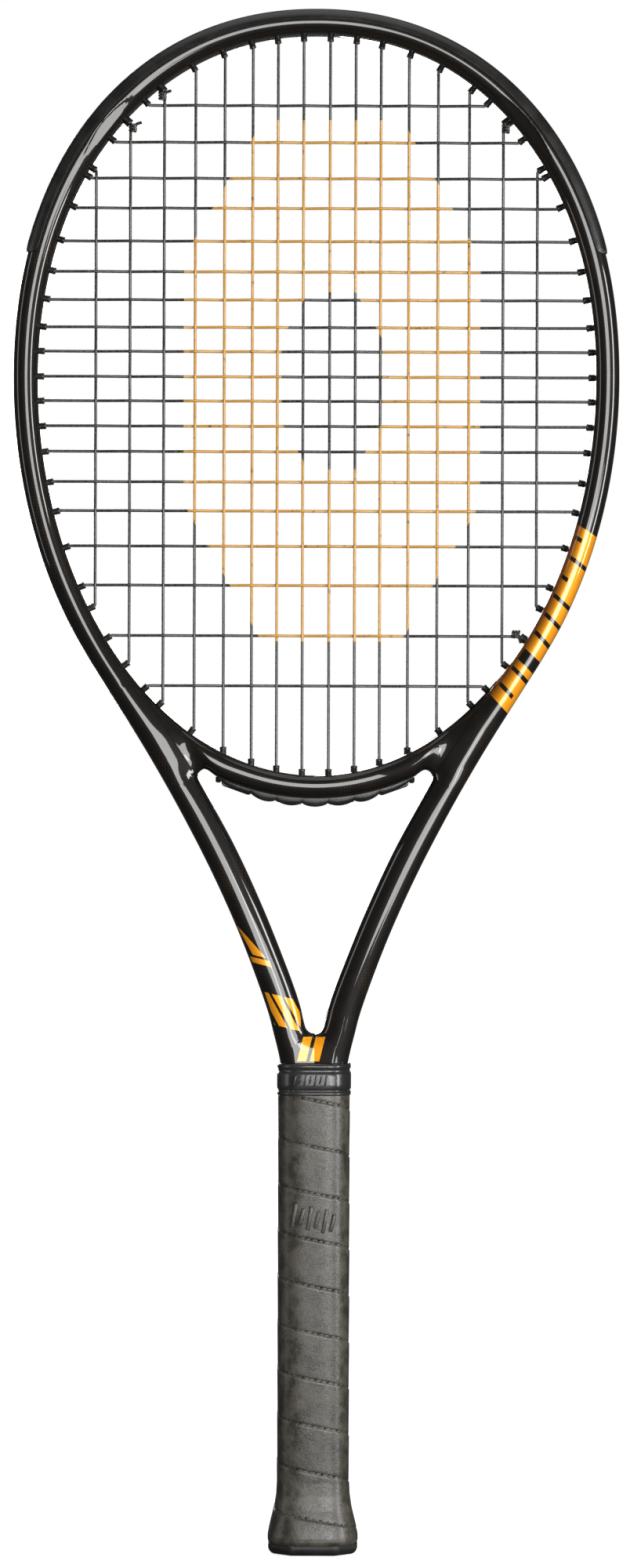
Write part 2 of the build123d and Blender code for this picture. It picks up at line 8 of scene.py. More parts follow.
import bmesh
import bpy
import numpy as np
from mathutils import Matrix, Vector


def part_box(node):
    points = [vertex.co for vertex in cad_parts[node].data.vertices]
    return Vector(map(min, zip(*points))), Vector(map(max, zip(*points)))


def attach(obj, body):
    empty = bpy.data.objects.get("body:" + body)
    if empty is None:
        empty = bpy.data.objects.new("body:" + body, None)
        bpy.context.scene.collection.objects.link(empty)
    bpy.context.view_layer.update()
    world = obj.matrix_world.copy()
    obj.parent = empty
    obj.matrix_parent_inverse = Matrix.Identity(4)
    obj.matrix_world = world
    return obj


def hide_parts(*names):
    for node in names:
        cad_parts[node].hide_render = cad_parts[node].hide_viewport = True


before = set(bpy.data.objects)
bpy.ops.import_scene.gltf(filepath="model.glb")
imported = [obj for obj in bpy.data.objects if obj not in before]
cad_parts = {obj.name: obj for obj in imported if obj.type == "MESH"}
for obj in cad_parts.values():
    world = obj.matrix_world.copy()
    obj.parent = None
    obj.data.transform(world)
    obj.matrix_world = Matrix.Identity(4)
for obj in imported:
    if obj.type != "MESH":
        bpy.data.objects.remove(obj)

logging.basicConfig(level=logging.INFO, format="%(message)s")
log = logging.getLogger("racket")

MM = 0.001
RACKET_BODY = "racket"
WELD_MM = 0.002
SPAN_STEPS = 12
PANEL_Z = (456.0, 379.0)
Colour = tuple[float, float, float]
Points = np.ndarray


class Slot(Enum):
    """Material slots that the record names."""

    FRAME = "frame"
    GUARD = "guard"
    GROMMET = "grommet"
    STRING = "string"
    FOAM = "foam"
    CAP = "cap"
    STEEL = "steel"
    GRIP = "grip"
    TAPE = "tape"
    COLLAR = "collar"


class Half(Enum):
    """Left or right half of the racket, seen from the front."""

    LEFT = -1
    RIGHT = 1


# ------------------------------------------------------------------ shader writing
class Wire:
    """A shader socket that can be used in ordinary arithmetic."""

    def __init__(self, bench: "Bench", socket: bpy.types.NodeSocket) -> None:
        """Wraps a socket.

        Args:
            bench: the node tree that the socket is in.
            socket: the output socket.
        """
        self.bench = bench
        self.socket = socket

    def _maths(self, operation: str, *values: Any, clamp: bool = False) -> "Wire":
        """Adds one Math node.

        Args:
            operation: the Math node's operation.
            *values: numbers or wires for its inputs, in order.
            clamp: True to keep the result between 0 and 1.

        Returns:
            The node's output.
        """
        settings = {"operation": operation, "use_clamp": clamp}
        return self.bench.node("ShaderNodeMath", settings, dict(enumerate(values)))

    def __add__(self, other: Any) -> "Wire":
        """self + other."""
        return self._maths("ADD", self, other)

    __radd__ = __add__

    def __sub__(self, other: Any) -> "Wire":
        """self - other."""
        return self._maths("SUBTRACT", self, other)

    def __rsub__(self, other: Any) -> "Wire":
        """other - self."""
        return self._maths("SUBTRACT", other, self)

    def __mul__(self, other: Any) -> "Wire":
        """self * other."""
        return self._maths("MULTIPLY", self, other)

    __rmul__ = __mul__

    def __truediv__(self, other: Any) -> "Wire":
        """self / other."""
        return self._maths("DIVIDE", self, other)

    def __gt__(self, other: Any) -> "Wire":
        """1 where self is over other, else 0."""
        return self._maths("GREATER_THAN", self, other)

    def __lt__(self, other: Any) -> "Wire":
        """1 where self is under other, else 0."""
        return self._maths("LESS_THAN", self, other)

    def __abs__(self) -> "Wire":
        """Size of self without its sign."""
        return self._maths("ABSOLUTE", self)

    def larger(self, other: Any) -> "Wire":
        """The larger of self and other."""
        return self._maths("MAXIMUM", self, other)

    def clamped(self) -> "Wire":
        """Self kept between 0 and 1."""
        return self._maths("ADD", self, 0.0, clamp=True)

    def cycled(self) -> "Wire":
        """Fraction left over after whole numbers."""
        return self._maths("FRACT", self)

    def sine(self) -> "Wire":
        """Sine of self in radians."""
        return self._maths("SINE", self)

    def within(self, low: Any, high: Any) -> "Wire":
        """1 between two limits, else 0.

        Args:
            low: lower limit.
            high: upper limit.

        Returns:
            The mask.
        """
        return (self > low) * (self < high)

    def eased(self, low: float, high: float, start: float = 0.0, end: float = 1.0) -> "Wire":
        """Smooth step from one value to another.

        Args:
            low: where the step starts.
            high: where it ends.
            start: result below low.
            end: result above high.

        Returns:
            The stepped value.
        """
        settings = {"interpolation_type": "SMOOTHSTEP"}
        sockets = {0: self, 1: low, 2: high, 3: start, 4: end}
        return self.bench.node("ShaderNodeMapRange", settings, sockets)


class Bench:
    """One material and the node tree behind it."""

    def __init__(self, name: str) -> None:
        """Makes an empty material.

        Args:
            name: the material's name.
        """
        self.material = bpy.data.materials.new(name)
        self.material.use_nodes = True
        self.tree = self.material.node_tree
        self.tree.nodes.clear()

    def node(self, kind: str, settings: dict[str, Any] | None = None,
             sockets: dict[Any, Any] | None = None, out: Any = 0) -> Wire:
        """Adds a node.

        Args:
            kind: the node's type.
            settings: its settings, or "stops" for a ramp's (place, colour) pairs.
            sockets: values or wires by input name or number.
            out: name or number of the output that is wanted.

        Returns:
            That output.
        """
        made = self.tree.nodes.new(kind)
        for key, value in (settings or {}).items():
            if key == "stops":
                self._stops(made.color_ramp, value)
            else:
                setattr(made, key, value)
        for key, value in (sockets or {}).items():
            if isinstance(value, Wire):
                self.tree.links.new(value.socket, made.inputs[key])
            else:
                made.inputs[key].default_value = value
        return Wire(self, made.outputs[out])

    @staticmethod
    def _stops(ramp: bpy.types.ColorRamp, stops: Sequence[tuple[float, Colour]]) -> None:
        """Sets a ramp's stops.

        Args:
            ramp: the ramp.
            stops: places with their colours.
        """
        while len(ramp.elements) < len(stops):
            ramp.elements.new(0.5)
        for element, (place, colour) in zip(ramp.elements, stops):
            element.position = place
            element.color = (*colour, 1.0)

    def place(self, scale: float = 1000.0) -> tuple[Wire, Wire, Wire]:
        """Position on the piece.

        Args:
            scale: what a metre is multiplied by; 1000 gives millimetres.

        Returns:
            x, y and z.
        """
        where = self.node("ShaderNodeTexCoord", out="Object")
        spread = {"operation": "SCALE"}
        scaled = self.node("ShaderNodeVectorMath", spread, {0: where, "Scale": scale})
        apart = self.node("ShaderNodeSeparateXYZ", None, {0: scaled})
        nodes = apart.socket.node.outputs
        return Wire(self, nodes[0]), Wire(self, nodes[1]), Wire(self, nodes[2])

    def vector(self, x: Any, y: Any, z: Any) -> Wire:
        """Vector from three wires or numbers.

        Args:
            x: first part.
            y: second part.
            z: third part.

        Returns:
            The vector.
        """
        return self.node("ShaderNodeCombineXYZ", None, {0: x, 1: y, 2: z})

    def noise(self, where: Wire, scale: float, detail: float = 4.0,
              rough: float = 0.55) -> Wire:
        """Noise at a position.

        Args:
            where: the position.
            scale: cycles for each unit of the position.
            detail: octaves.
            rough: strength of each octave against the last.

        Returns:
            Noise from 0 to 1.
        """
        sockets = {"Vector": where, "Scale": scale, "Detail": detail, "Roughness": rough}
        return self.node("ShaderNodeTexNoise", None, sockets)

    def mixed(self, factor: Any, low: Any, high: Any) -> Wire:
        """Mixes two colours.

        Args:
            factor: 0 for the first, 1 for the second.
            low: first colour or wire.
            high: second colour or wire.

        Returns:
            The mixed colour.
        """
        low, high = (c if isinstance(c, Wire) else (*c, 1.0) for c in (low, high))
        sockets = {0: factor, 6: low, 7: high}
        return self.node("ShaderNodeMix", {"data_type": "RGBA"}, sockets, out=2)

    def bumped(self, height: Wire, depth: float, strength: float = 1.0) -> Wire:
        """Normal from a height.

        Args:
            height: the height, 0 to 1.
            depth: metres that 1 stands for.
            strength: strength of the bump.

        Returns:
            The normal.
        """
        sockets = {"Height": height, "Distance": depth, "Strength": strength}
        return self.node("ShaderNodeBump", None, sockets)

    def principled(self, **sockets: Any) -> bpy.types.Material:
        """Ends the tree in a Principled shader.

        Args:
            **sockets: its inputs, with _ for each space in their names.

        Returns:
            The material.
        """
        named = {key.replace("_", " "): value for key, value in sockets.items()}
        for key in ("Base Color", "Emission Color", "Coat Tint", "Sheen Tint"):
            if key in named and not isinstance(named[key], Wire):
                named[key] = (*named[key], 1.0)
        shader = self.node("ShaderNodeBsdfPrincipled", None, named)
        end = self.tree.nodes.new("ShaderNodeOutputMaterial")
        self.tree.links.new(shader.socket, end.inputs["Surface"])
        return self.material


# ------------------------------------------------------------------ finishes
@dataclass(frozen=True)
class CarbonLacquer:
    """Clear lacquer over dark carbon, with a painted panel and plain marks."""

    panel_start: float
    panel_end: float
    carbon: Colour = (0.0085, 0.0068, 0.0055)
    weave: Colour = (0.034, 0.023, 0.013)
    paint: Colour = (1.0, 0.37, 0.012)
    shade: Colour = (0.20, 0.055, 0.005)
    pitch: float = 9.3
    first_bar: float = 4.5
    slant: float = 3.4

    def make(self) -> bpy.types.Material:
        """Makes the lacquered carbon."""
        bench = Bench("lacquered_carbon")
        x, y, z = bench.place()
        where = bench.vector(x, y, z)
        path = bench.node("ShaderNodeAttribute", {"attribute_name": "path"}, out="Fac")
        across = bench.node("ShaderNodeAttribute", {"attribute_name": "across"}, out="Fac")
        cloud = bench.noise(where, 0.05, 3.0)
        warp = ((x + z) * 2.3).sine() * ((x - z) * 2.3).sine()
        ghost = warp.eased(-0.2, 0.7) * cloud.eased(0.5, 0.72) * 0.8
        carbon = bench.mixed(ghost, self.carbon, self.weave)
        marks = self._marks(x, y, z, across).clamped()
        painted = self._panel(path, across, x) + marks
        flake = bench.noise(where, 3.0, 2.0)
        tone = bench.mixed(across.eased(0.02, 0.55), self.shade, self.paint)
        tone = bench.mixed(flake.eased(0.55, 0.8) * 0.25, tone, (0.95, 0.45, 0.08))
        tone = bench.mixed(marks, tone, self.paint)
        colour = bench.mixed(painted.clamped(), carbon, tone)
        smear = bench.noise(where, 0.09, 5.0)
        ripple = bench.noise(where, 0.035, 2.0)
        return bench.principled(
            Base_Color=colour,
            Roughness=smear.eased(0.3, 0.7, 0.36, 0.46),
            Metallic=painted.clamped() * 0.25,
            Normal=bench.bumped(ripple, 0.0012, 0.25),
            Specular_IOR_Level=0.12,
            Coat_Weight=1.0,
            Coat_Roughness=0.03,
        )

    def _panel(self, path: Wire, across: Wire, x: Wire) -> Wire:
        """Painted panel low on the right of the hoop, crossed by plain bars.

        Args:
            path: distance along the beam in millimetres.
            across: 0 at the inner edge, 1 at the outer.
            x: position across the racket.

        Returns:
            The panel's mask.
        """
        slanted = path - across * self.slant
        panel = slanted.within(self.panel_start, self.panel_end) * (x > 0.0)
        step = (slanted - self.panel_start - self.first_bar) / self.pitch
        turn = step.cycled()
        count = step - turn
        short = (count < 0.5) + count.within(1.5, 2.5)
        reach = across.within(0.14, 1.01 - short.clamped() * 0.58 - (count > 7.5) * 0.2)
        thick = 0.21 + count.within(5.5, 6.5) * 0.42
        inked = (turn < thick) * reach * (step > 0.0)
        return panel * (1 - inked)

    @staticmethod
    def _marks(x: Wire, y: Wire, z: Wire, across: Wire) -> Wire:
        """Plain slanted bars on the left shaft and at the throat.

        Args:
            x: position across the racket.
            y: position front to back.
            z: height.
            across: 0 at the inner edge, 1 at the outer.

        Returns:
            The marks' mask.
        """
        left = (x < -6.0) * (y < 0.0)
        rise = z + x * 0.25
        dash = rise.within(255.6, 258.0) * across.within(0.42, 0.94)
        fall = 270.0 - rise
        sliver = rise.within(259.0, 270.0) * across.within(0.95 - fall * 0.042, 0.97 - fall * 0.012)
        block = rise.within(230.4, 243.8) * (across > 0.06) * (across < 0.9)
        slots = ((x + (z - 237.0) * 0.55) / 4.6).cycled() < 0.28
        low = z.within(218.6, 229.4) * (y < 0.0)
        lean = x - (z - 224.0) * 0.25
        badge = low * lean.within(-6.2, 3.6) * (1 - lean.within(-2.2, -0.6))
        return left * (dash + sliver + block * (1 - slots)) + badge


@dataclass(frozen=True)
class Moulding:
    """Moulded plastic or rubber with a fine grain and rubbed patches."""

    name: str
    dark: Colour
    light: Colour
    rough: tuple[float, float] = (0.38, 0.52)
    grain: float = 2.6
    relief: float = 0.00006
    coat: float = 0.0

    def make(self) -> bpy.types.Material:
        """Makes the moulded finish."""
        bench = Bench(self.name)
        where = bench.vector(*bench.place())
        cloud = bench.noise(where, 0.12, 4.0)
        speck = bench.noise(where, self.grain, 3.0)
        colour = bench.mixed(cloud.eased(0.35, 0.7), self.dark, self.light)
        low, high = self.rough
        return bench.principled(
            Base_Color=colour,
            Roughness=(cloud * 0.6 + speck * 0.4).eased(0.3, 0.7, low, high),
            Normal=bench.bumped(speck, self.relief, 0.6),
            Coat_Weight=self.coat,
            Coat_Roughness=0.12,
        )


@dataclass(frozen=True)
class StringCord:
    """Multifilament string, dark with a plain eight-sided ring printed in gold."""

    dark: Colour = (0.022, 0.021, 0.019)
    light: Colour = (0.075, 0.070, 0.062)
    gold: Colour = (0.66, 0.35, 0.07)
    centre: tuple[float, float] = (7.0, 521.0)
    reach: tuple[float, float] = (66.0, 116.0)
    ring: tuple[float, float] = (0.34, 1.0)
    corner_cut: float = 0.68

    def make(self) -> bpy.types.Material:
        """Makes the string's finish."""
        bench = Bench("string_multifilament")
        x, y, z = bench.place()
        where = bench.vector(x, y, z)
        twist = ((x + z) * 5.2 + y * 3.0).sine()
        streak = bench.noise(where, 0.9, 4.0)
        colour = bench.mixed(streak.eased(0.35, 0.7), self.dark, self.light)
        wide = abs(x - self.centre[0]) / self.reach[0]
        high = abs(z - self.centre[1]) / self.reach[1]
        far = wide.larger(high).larger((wide + high) * self.corner_cut)
        worn = bench.noise(where, 0.35, 4.0).eased(0.25, 0.42)
        printed = far.within(*self.ring) * worn
        colour = bench.mixed(printed * 0.95, colour, self.gold)
        return bench.principled(
            Base_Color=colour,
            Roughness=streak.eased(0.3, 0.7, 0.24, 0.38),
            Normal=bench.bumped(twist * 0.5 + 0.5, 0.00002, 0.35),
            Coat_Weight=0.35,
            Coat_Roughness=0.15,
        )


@dataclass(frozen=True)
class GripLeather:
    """Tacky cushioned grip: mottled, pored and polished by the hand, with painted shadow along the
    seams.
    """

    dark: Colour = (0.022, 0.020, 0.015)
    mid: Colour = (0.034, 0.030, 0.023)
    light: Colour = (0.090, 0.083, 0.066)

    def make(self) -> bpy.types.Material:
        """Makes the grip's finish."""
        bench = Bench("grip_synthetic_leather")
        x, y, z = bench.place()
        where = bench.vector(x, y, z)
        blotch = bench.noise(where, 0.16, 6.0, 0.62)
        fibre = bench.noise(bench.vector(x, y, z * 0.35), 1.1, 5.0, 0.65)
        turn = bench.node("ShaderNodeAttribute", {"attribute_name": "turn"}, out="Fac")
        stamp = bench.node("ShaderNodeAttribute", {"attribute_name": "stamp"}, out="Fac")
        # painted shadow: the strip's edges at each seam (turn near 0 and 1) are darkened to stand
        # for the shade under the overlapping turn; the stamped bars are darkened too
        edge = (turn < 0.022) + (turn > 0.982) + stamp * 0.55
        colour = bench.mixed((blotch * 0.7 + fibre * 0.3).eased(0.40, 0.60), self.mid, self.light)
        colour = bench.mixed(fibre.eased(0.52, 0.75) * 0.5, colour, self.dark)
        colour = bench.mixed(edge.clamped(), colour, (0.006, 0.005, 0.004))
        pores = bench.node("ShaderNodeTexVoronoi", None, {"Vector": where, "Scale": 1.5})
        creased = bench.noise(where, 0.55, 6.0, 0.7)
        height = pores.eased(0.0, 0.5) * 0.35 + creased * 0.65
        return bench.principled(
            Base_Color=colour,
            Roughness=(blotch * 0.5 + creased * 0.5).eased(0.35, 0.65, 0.30, 0.50),
            Normal=bench.bumped(height, 0.00035, 0.55),
            Coat_Weight=0.3,
            Coat_Roughness=0.3,
        )


@dataclass(frozen=True)
class Metal:
    """Bare steel of the small fixings."""

    colour: Colour = (0.52, 0.51, 0.49)

    def make(self) -> bpy.types.Material:
        """Makes the steel."""
        bench = Bench("fixing_steel")
        where = bench.vector(*bench.place())
        stain = bench.noise(where, 0.8, 4.0)
        return bench.principled(
            Base_Color=bench.mixed(stain.eased(0.4, 0.7), self.colour, (0.30, 0.27, 0.24)),
            Roughness=stain.eased(0.3, 0.7, 0.28, 0.45),
            Metallic=1.0,
        )


@dataclass
class Palette:
    """All finishes, made once and shared."""

    panel: tuple[float, float]
    materials: dict[Slot, bpy.types.Material] = field(default_factory=dict)

    def __post_init__(self) -> None:
        """Makes a material for every slot."""
        black = (0.011, 0.0105, 0.010)
        grey = (0.020, 0.019, 0.018)
        makers = {
            Slot.FRAME: CarbonLacquer(*self.panel),
            Slot.GUARD: Moulding("guard_plastic", black, grey, (0.30, 0.42)),
            Slot.GROMMET: Moulding("grommet_plastic", (0.014, 0.014, 0.013), (0.03, 0.03, 0.028),
                                   (0.26, 0.36)),
            Slot.STRING: StringCord(),
            Slot.FOAM: Moulding("pallet_foam", (0.05, 0.05, 0.048), (0.08, 0.08, 0.075),
                                (0.7, 0.85), 1.2, 0.0003),
            Slot.CAP: Moulding("cap_plastic", (0.012, 0.012, 0.012), grey, (0.40, 0.52)),
            Slot.STEEL: Metal(),
            Slot.GRIP: GripLeather(),
            Slot.TAPE: Moulding("tape_vinyl", black, grey, (0.35, 0.5)),
            Slot.COLLAR: Moulding("collar_rubber", (0.018, 0.019, 0.018), (0.034, 0.035, 0.033),
                                  (0.26, 0.36), 1.6, 0.00008, 0.25),
        }
        for slot, maker in makers.items():
            self.materials[slot] = maker.make()


# ------------------------------------------------------------------ curves and meshes
def smooth_curve(points: Sequence[Sequence[float]]) -> Points:
    """Smooth curve through points, with SPAN_STEPS points for each span.

    Args:
        points: (x, z) pairs.

    Returns:
        The curve as rows of x and z.
    """
    given = np.asarray(points, float)
    ends = np.vstack([2 * given[0] - given[1], given, 2 * given[-1] - given[-2]])
    t = np.linspace(0, 1, SPAN_STEPS, endpoint=False)[:, None]
    spans = []
    for a, b, c, d in zip(ends, ends[1:], ends[2:], ends[3:]):
        cubic = (3 * b - a - 3 * c + d) * t ** 3
        spans.append(0.5 * (2 * b + (c - a) * t + (2 * a - 5 * b + 4 * c - d) * t ** 2 + cubic))
    return np.vstack([*spans, given[-1:]])


def run_lengths(curve: Points) -> Points:
    """Distance along a curve at each of its points."""
    steps = np.linalg.norm(np.diff(curve, axis=0), axis=1)
    return np.concatenate([[0.0], np.cumsum(steps)])


def at_length(curve: Points, lengths: Points) -> Points:
    """Points at given distances along a curve.

    Args:
        curve: rows of x and z.
        lengths: the distances.

    Returns:
        One row for each distance.
    """
    runs = run_lengths(curve)
    return np.stack([np.interp(lengths, runs, curve[:, k]) for k in (0, 1)], axis=1)


def nearest(points: Points, curve: Points) -> Points:
    """Distance from each point to a curve.

    Args:
        points: rows of x and z.
        curve: rows of x and z.

    Returns:
        One distance for each point.
    """
    start = curve[:-1]
    way = curve[1:] - start
    square = np.maximum((way ** 2).sum(1), 1e-12)
    best = np.full(len(points), np.inf)
    for a, w, s in zip(start, way, square):
        t = np.clip(((points - a) @ w) / s, 0, 1)[:, None]
        best = np.minimum(best, ((points - a - t * w) ** 2).sum(1))
    return np.sqrt(best)


def ease(value: Any, low: float, high: float) -> Any:
    """Smooth step from 0 at low to 1 at high."""
    t = np.clip((value - low) / (high - low), 0, 1)
    return t * t * (3 - 2 * t)


class Skin:
    """Vertices and faces of one mesh, in millimetres."""

    def __init__(self) -> None:
        """Starts with nothing."""
        self.verts: list[Points] = []
        self.faces: list[tuple[int, ...]] = []
        self.notes: dict[str, list[Points]] = {}
        self.count = 0

    def add(self, verts: Points, faces: Iterable[Sequence[int]], **notes: Points) -> None:
        """Adds a patch.

        Args:
            verts: rows of x, y and z.
            faces: corners of each face, counted from the patch's first vertex.
            **notes: a number for each vertex, kept as an attribute.
        """
        self.verts.append(np.asarray(verts, float).reshape(-1, 3))
        self.faces += [tuple(int(i) + self.count for i in face) for face in faces]
        for name, values in notes.items():
            self.notes.setdefault(name, []).append(np.asarray(values, float).ravel())
        self.count += len(self.verts[-1])

    def grid(self, rows: Points, closed: bool = False, flip: bool = False,
             caps: tuple[bool, bool] = (False, False), **notes: Points) -> None:
        """Adds a patch of quads.

        Args:
            rows: array of rows, columns and x, y, z.
            closed: True if the last column joins the first.
            flip: True to turn the faces over.
            caps: whether the first and the last row are filled with a face.
            **notes: a number for each row and column.
        """
        high, wide = rows.shape[:2]
        faces = []
        for r in range(high - 1):
            for c in range(wide if closed else wide - 1):
                n = (c + 1) % wide
                face = (r * wide + c, r * wide + n, (r + 1) * wide + n, (r + 1) * wide + c)
                faces.append(face[::-1] if flip else face)
        for wanted, row in zip(caps, (0, high - 1)):
            if wanted:
                ring = tuple(range(row * wide, (row + 1) * wide))
                faces.append(ring if (row > 0) != flip else ring[::-1])
        self.add(rows, faces, **notes)

    def mirrored(self) -> None:
        """Adds the mirror image of everything, in the plane x = 0."""
        verts = np.vstack(self.verts)
        flipped = [face[::-1] for face in self.faces]
        notes = {name: np.concatenate(values) for name, values in self.notes.items()}
        self.add(verts * (-1, 1, 1), flipped, **notes)

    def piece(self, name: str, slot: Slot, palette: Palette, *nodes: str,
              sharp: float = 55.0) -> bpy.types.Object:
        """Makes the Blender object.

        Args:
            name: its name.
            slot: the record's slot that its finish comes from.
            palette: the finishes.
            *nodes: CAD nodes that it stands for.
            sharp: angle in degrees over which an edge is sharp.

        Returns:
            The object.
        """
        mesh = bpy.data.meshes.new(name)
        verts = np.vstack(self.verts) * MM
        mesh.from_pydata(verts.tolist(), [], self.faces)
        for key, values in self.notes.items():
            layer = mesh.attributes.new(key, "FLOAT", "POINT")
            layer.data.foreach_set("value", np.concatenate(values).astype(np.float32))
        self._tidy(mesh)
        mesh.shade_smooth()
        mesh.set_sharp_from_angle(angle=math.radians(sharp))
        made = bpy.data.objects.new(name, mesh)
        bpy.context.scene.collection.objects.link(made)
        mesh.materials.append(palette.materials[slot])
        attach(made, RACKET_BODY)
        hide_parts(*nodes)
        log.info("%s: %d faces, stands for %s", name, len(mesh.polygons), ", ".join(nodes))
        return made

    @staticmethod
    def _tidy(mesh: bpy.types.Mesh) -> None:
        """Joins doubled vertices, drops flat faces and turns the rest outwards."""
        work = bmesh.new()
        work.from_mesh(mesh)
        bmesh.ops.remove_doubles(work, verts=work.verts, dist=WELD_MM * MM)
        bmesh.ops.dissolve_degenerate(work, edges=work.edges, dist=WELD_MM * MM * 0.5)
        bmesh.ops.recalc_face_normals(work, faces=work.faces)
        work.to_mesh(mesh)
        work.free()


def softened(ring: Points, passes: int) -> Points:
    """Rounds a ring's corners further and keeps its width and depth.

    Args:
        ring: rows of x and y, evenly spaced.
        passes: how many times each point is drawn towards its neighbours.

    Returns:
        The rounder ring.
    """
    soft = ring
    for _ in range(passes):
        soft = (np.roll(soft, 1, 0) + 2 * soft + np.roll(soft, -1, 0)) / 4
    return soft * (ring.max(0) / soft.max(0))


def octagon_ring(width: float, depth: float, bevel: float, corner: float, count: int) -> Points:
    """Octagon with rounded corners, as points evenly spaced round it.

    Args:
        width: size in x.
        depth: size in y.
        bevel: how much each corner is cut.
        corner: radius of each of the eight corners.
        count: number of points.

    Returns:
        Rows of x and y, starting at +x and going towards -y.
    """
    a, b = width / 2, depth / 2
    quarter = [(a, 0.0), (a, -(b - bevel)), (a - bevel, -b), (0.0, -b)]
    outline = quarter + [(-x, y) for x, y in quarter[-2::-1]]
    outline += [(x, -y) for x, y in outline[-2:0:-1]]
    knots = np.asarray([p for p in outline if p[0] * p[1] != 0.0])
    rounded = []
    for before, here, after in zip(np.roll(knots, 1, 0), knots, np.roll(knots, -1, 0)):
        back = (before - here) / np.linalg.norm(before - here)
        ahead = (after - here) / np.linalg.norm(after - here)
        half = math.acos(max(-1.0, min(1.0, float(back @ ahead)))) / 2
        reach = min(corner / math.tan(half), 0.45 * np.linalg.norm(before - here),
                    0.45 * np.linalg.norm(after - here))
        for t in np.linspace(0, 1, 7):
            start, end = here + back * reach, here + ahead * reach
            rounded.append((1 - t) ** 2 * start + 2 * t * (1 - t) * here + t * t * end)
    loop = np.asarray([(a, 0.0), *rounded, (a, 0.0)])
    runs = run_lengths(loop)
    wanted = np.linspace(0, runs[-1], count, endpoint=False)
    return np.stack([np.interp(wanted, runs, loop[:, k]) for k in (0, 1)], axis=1)


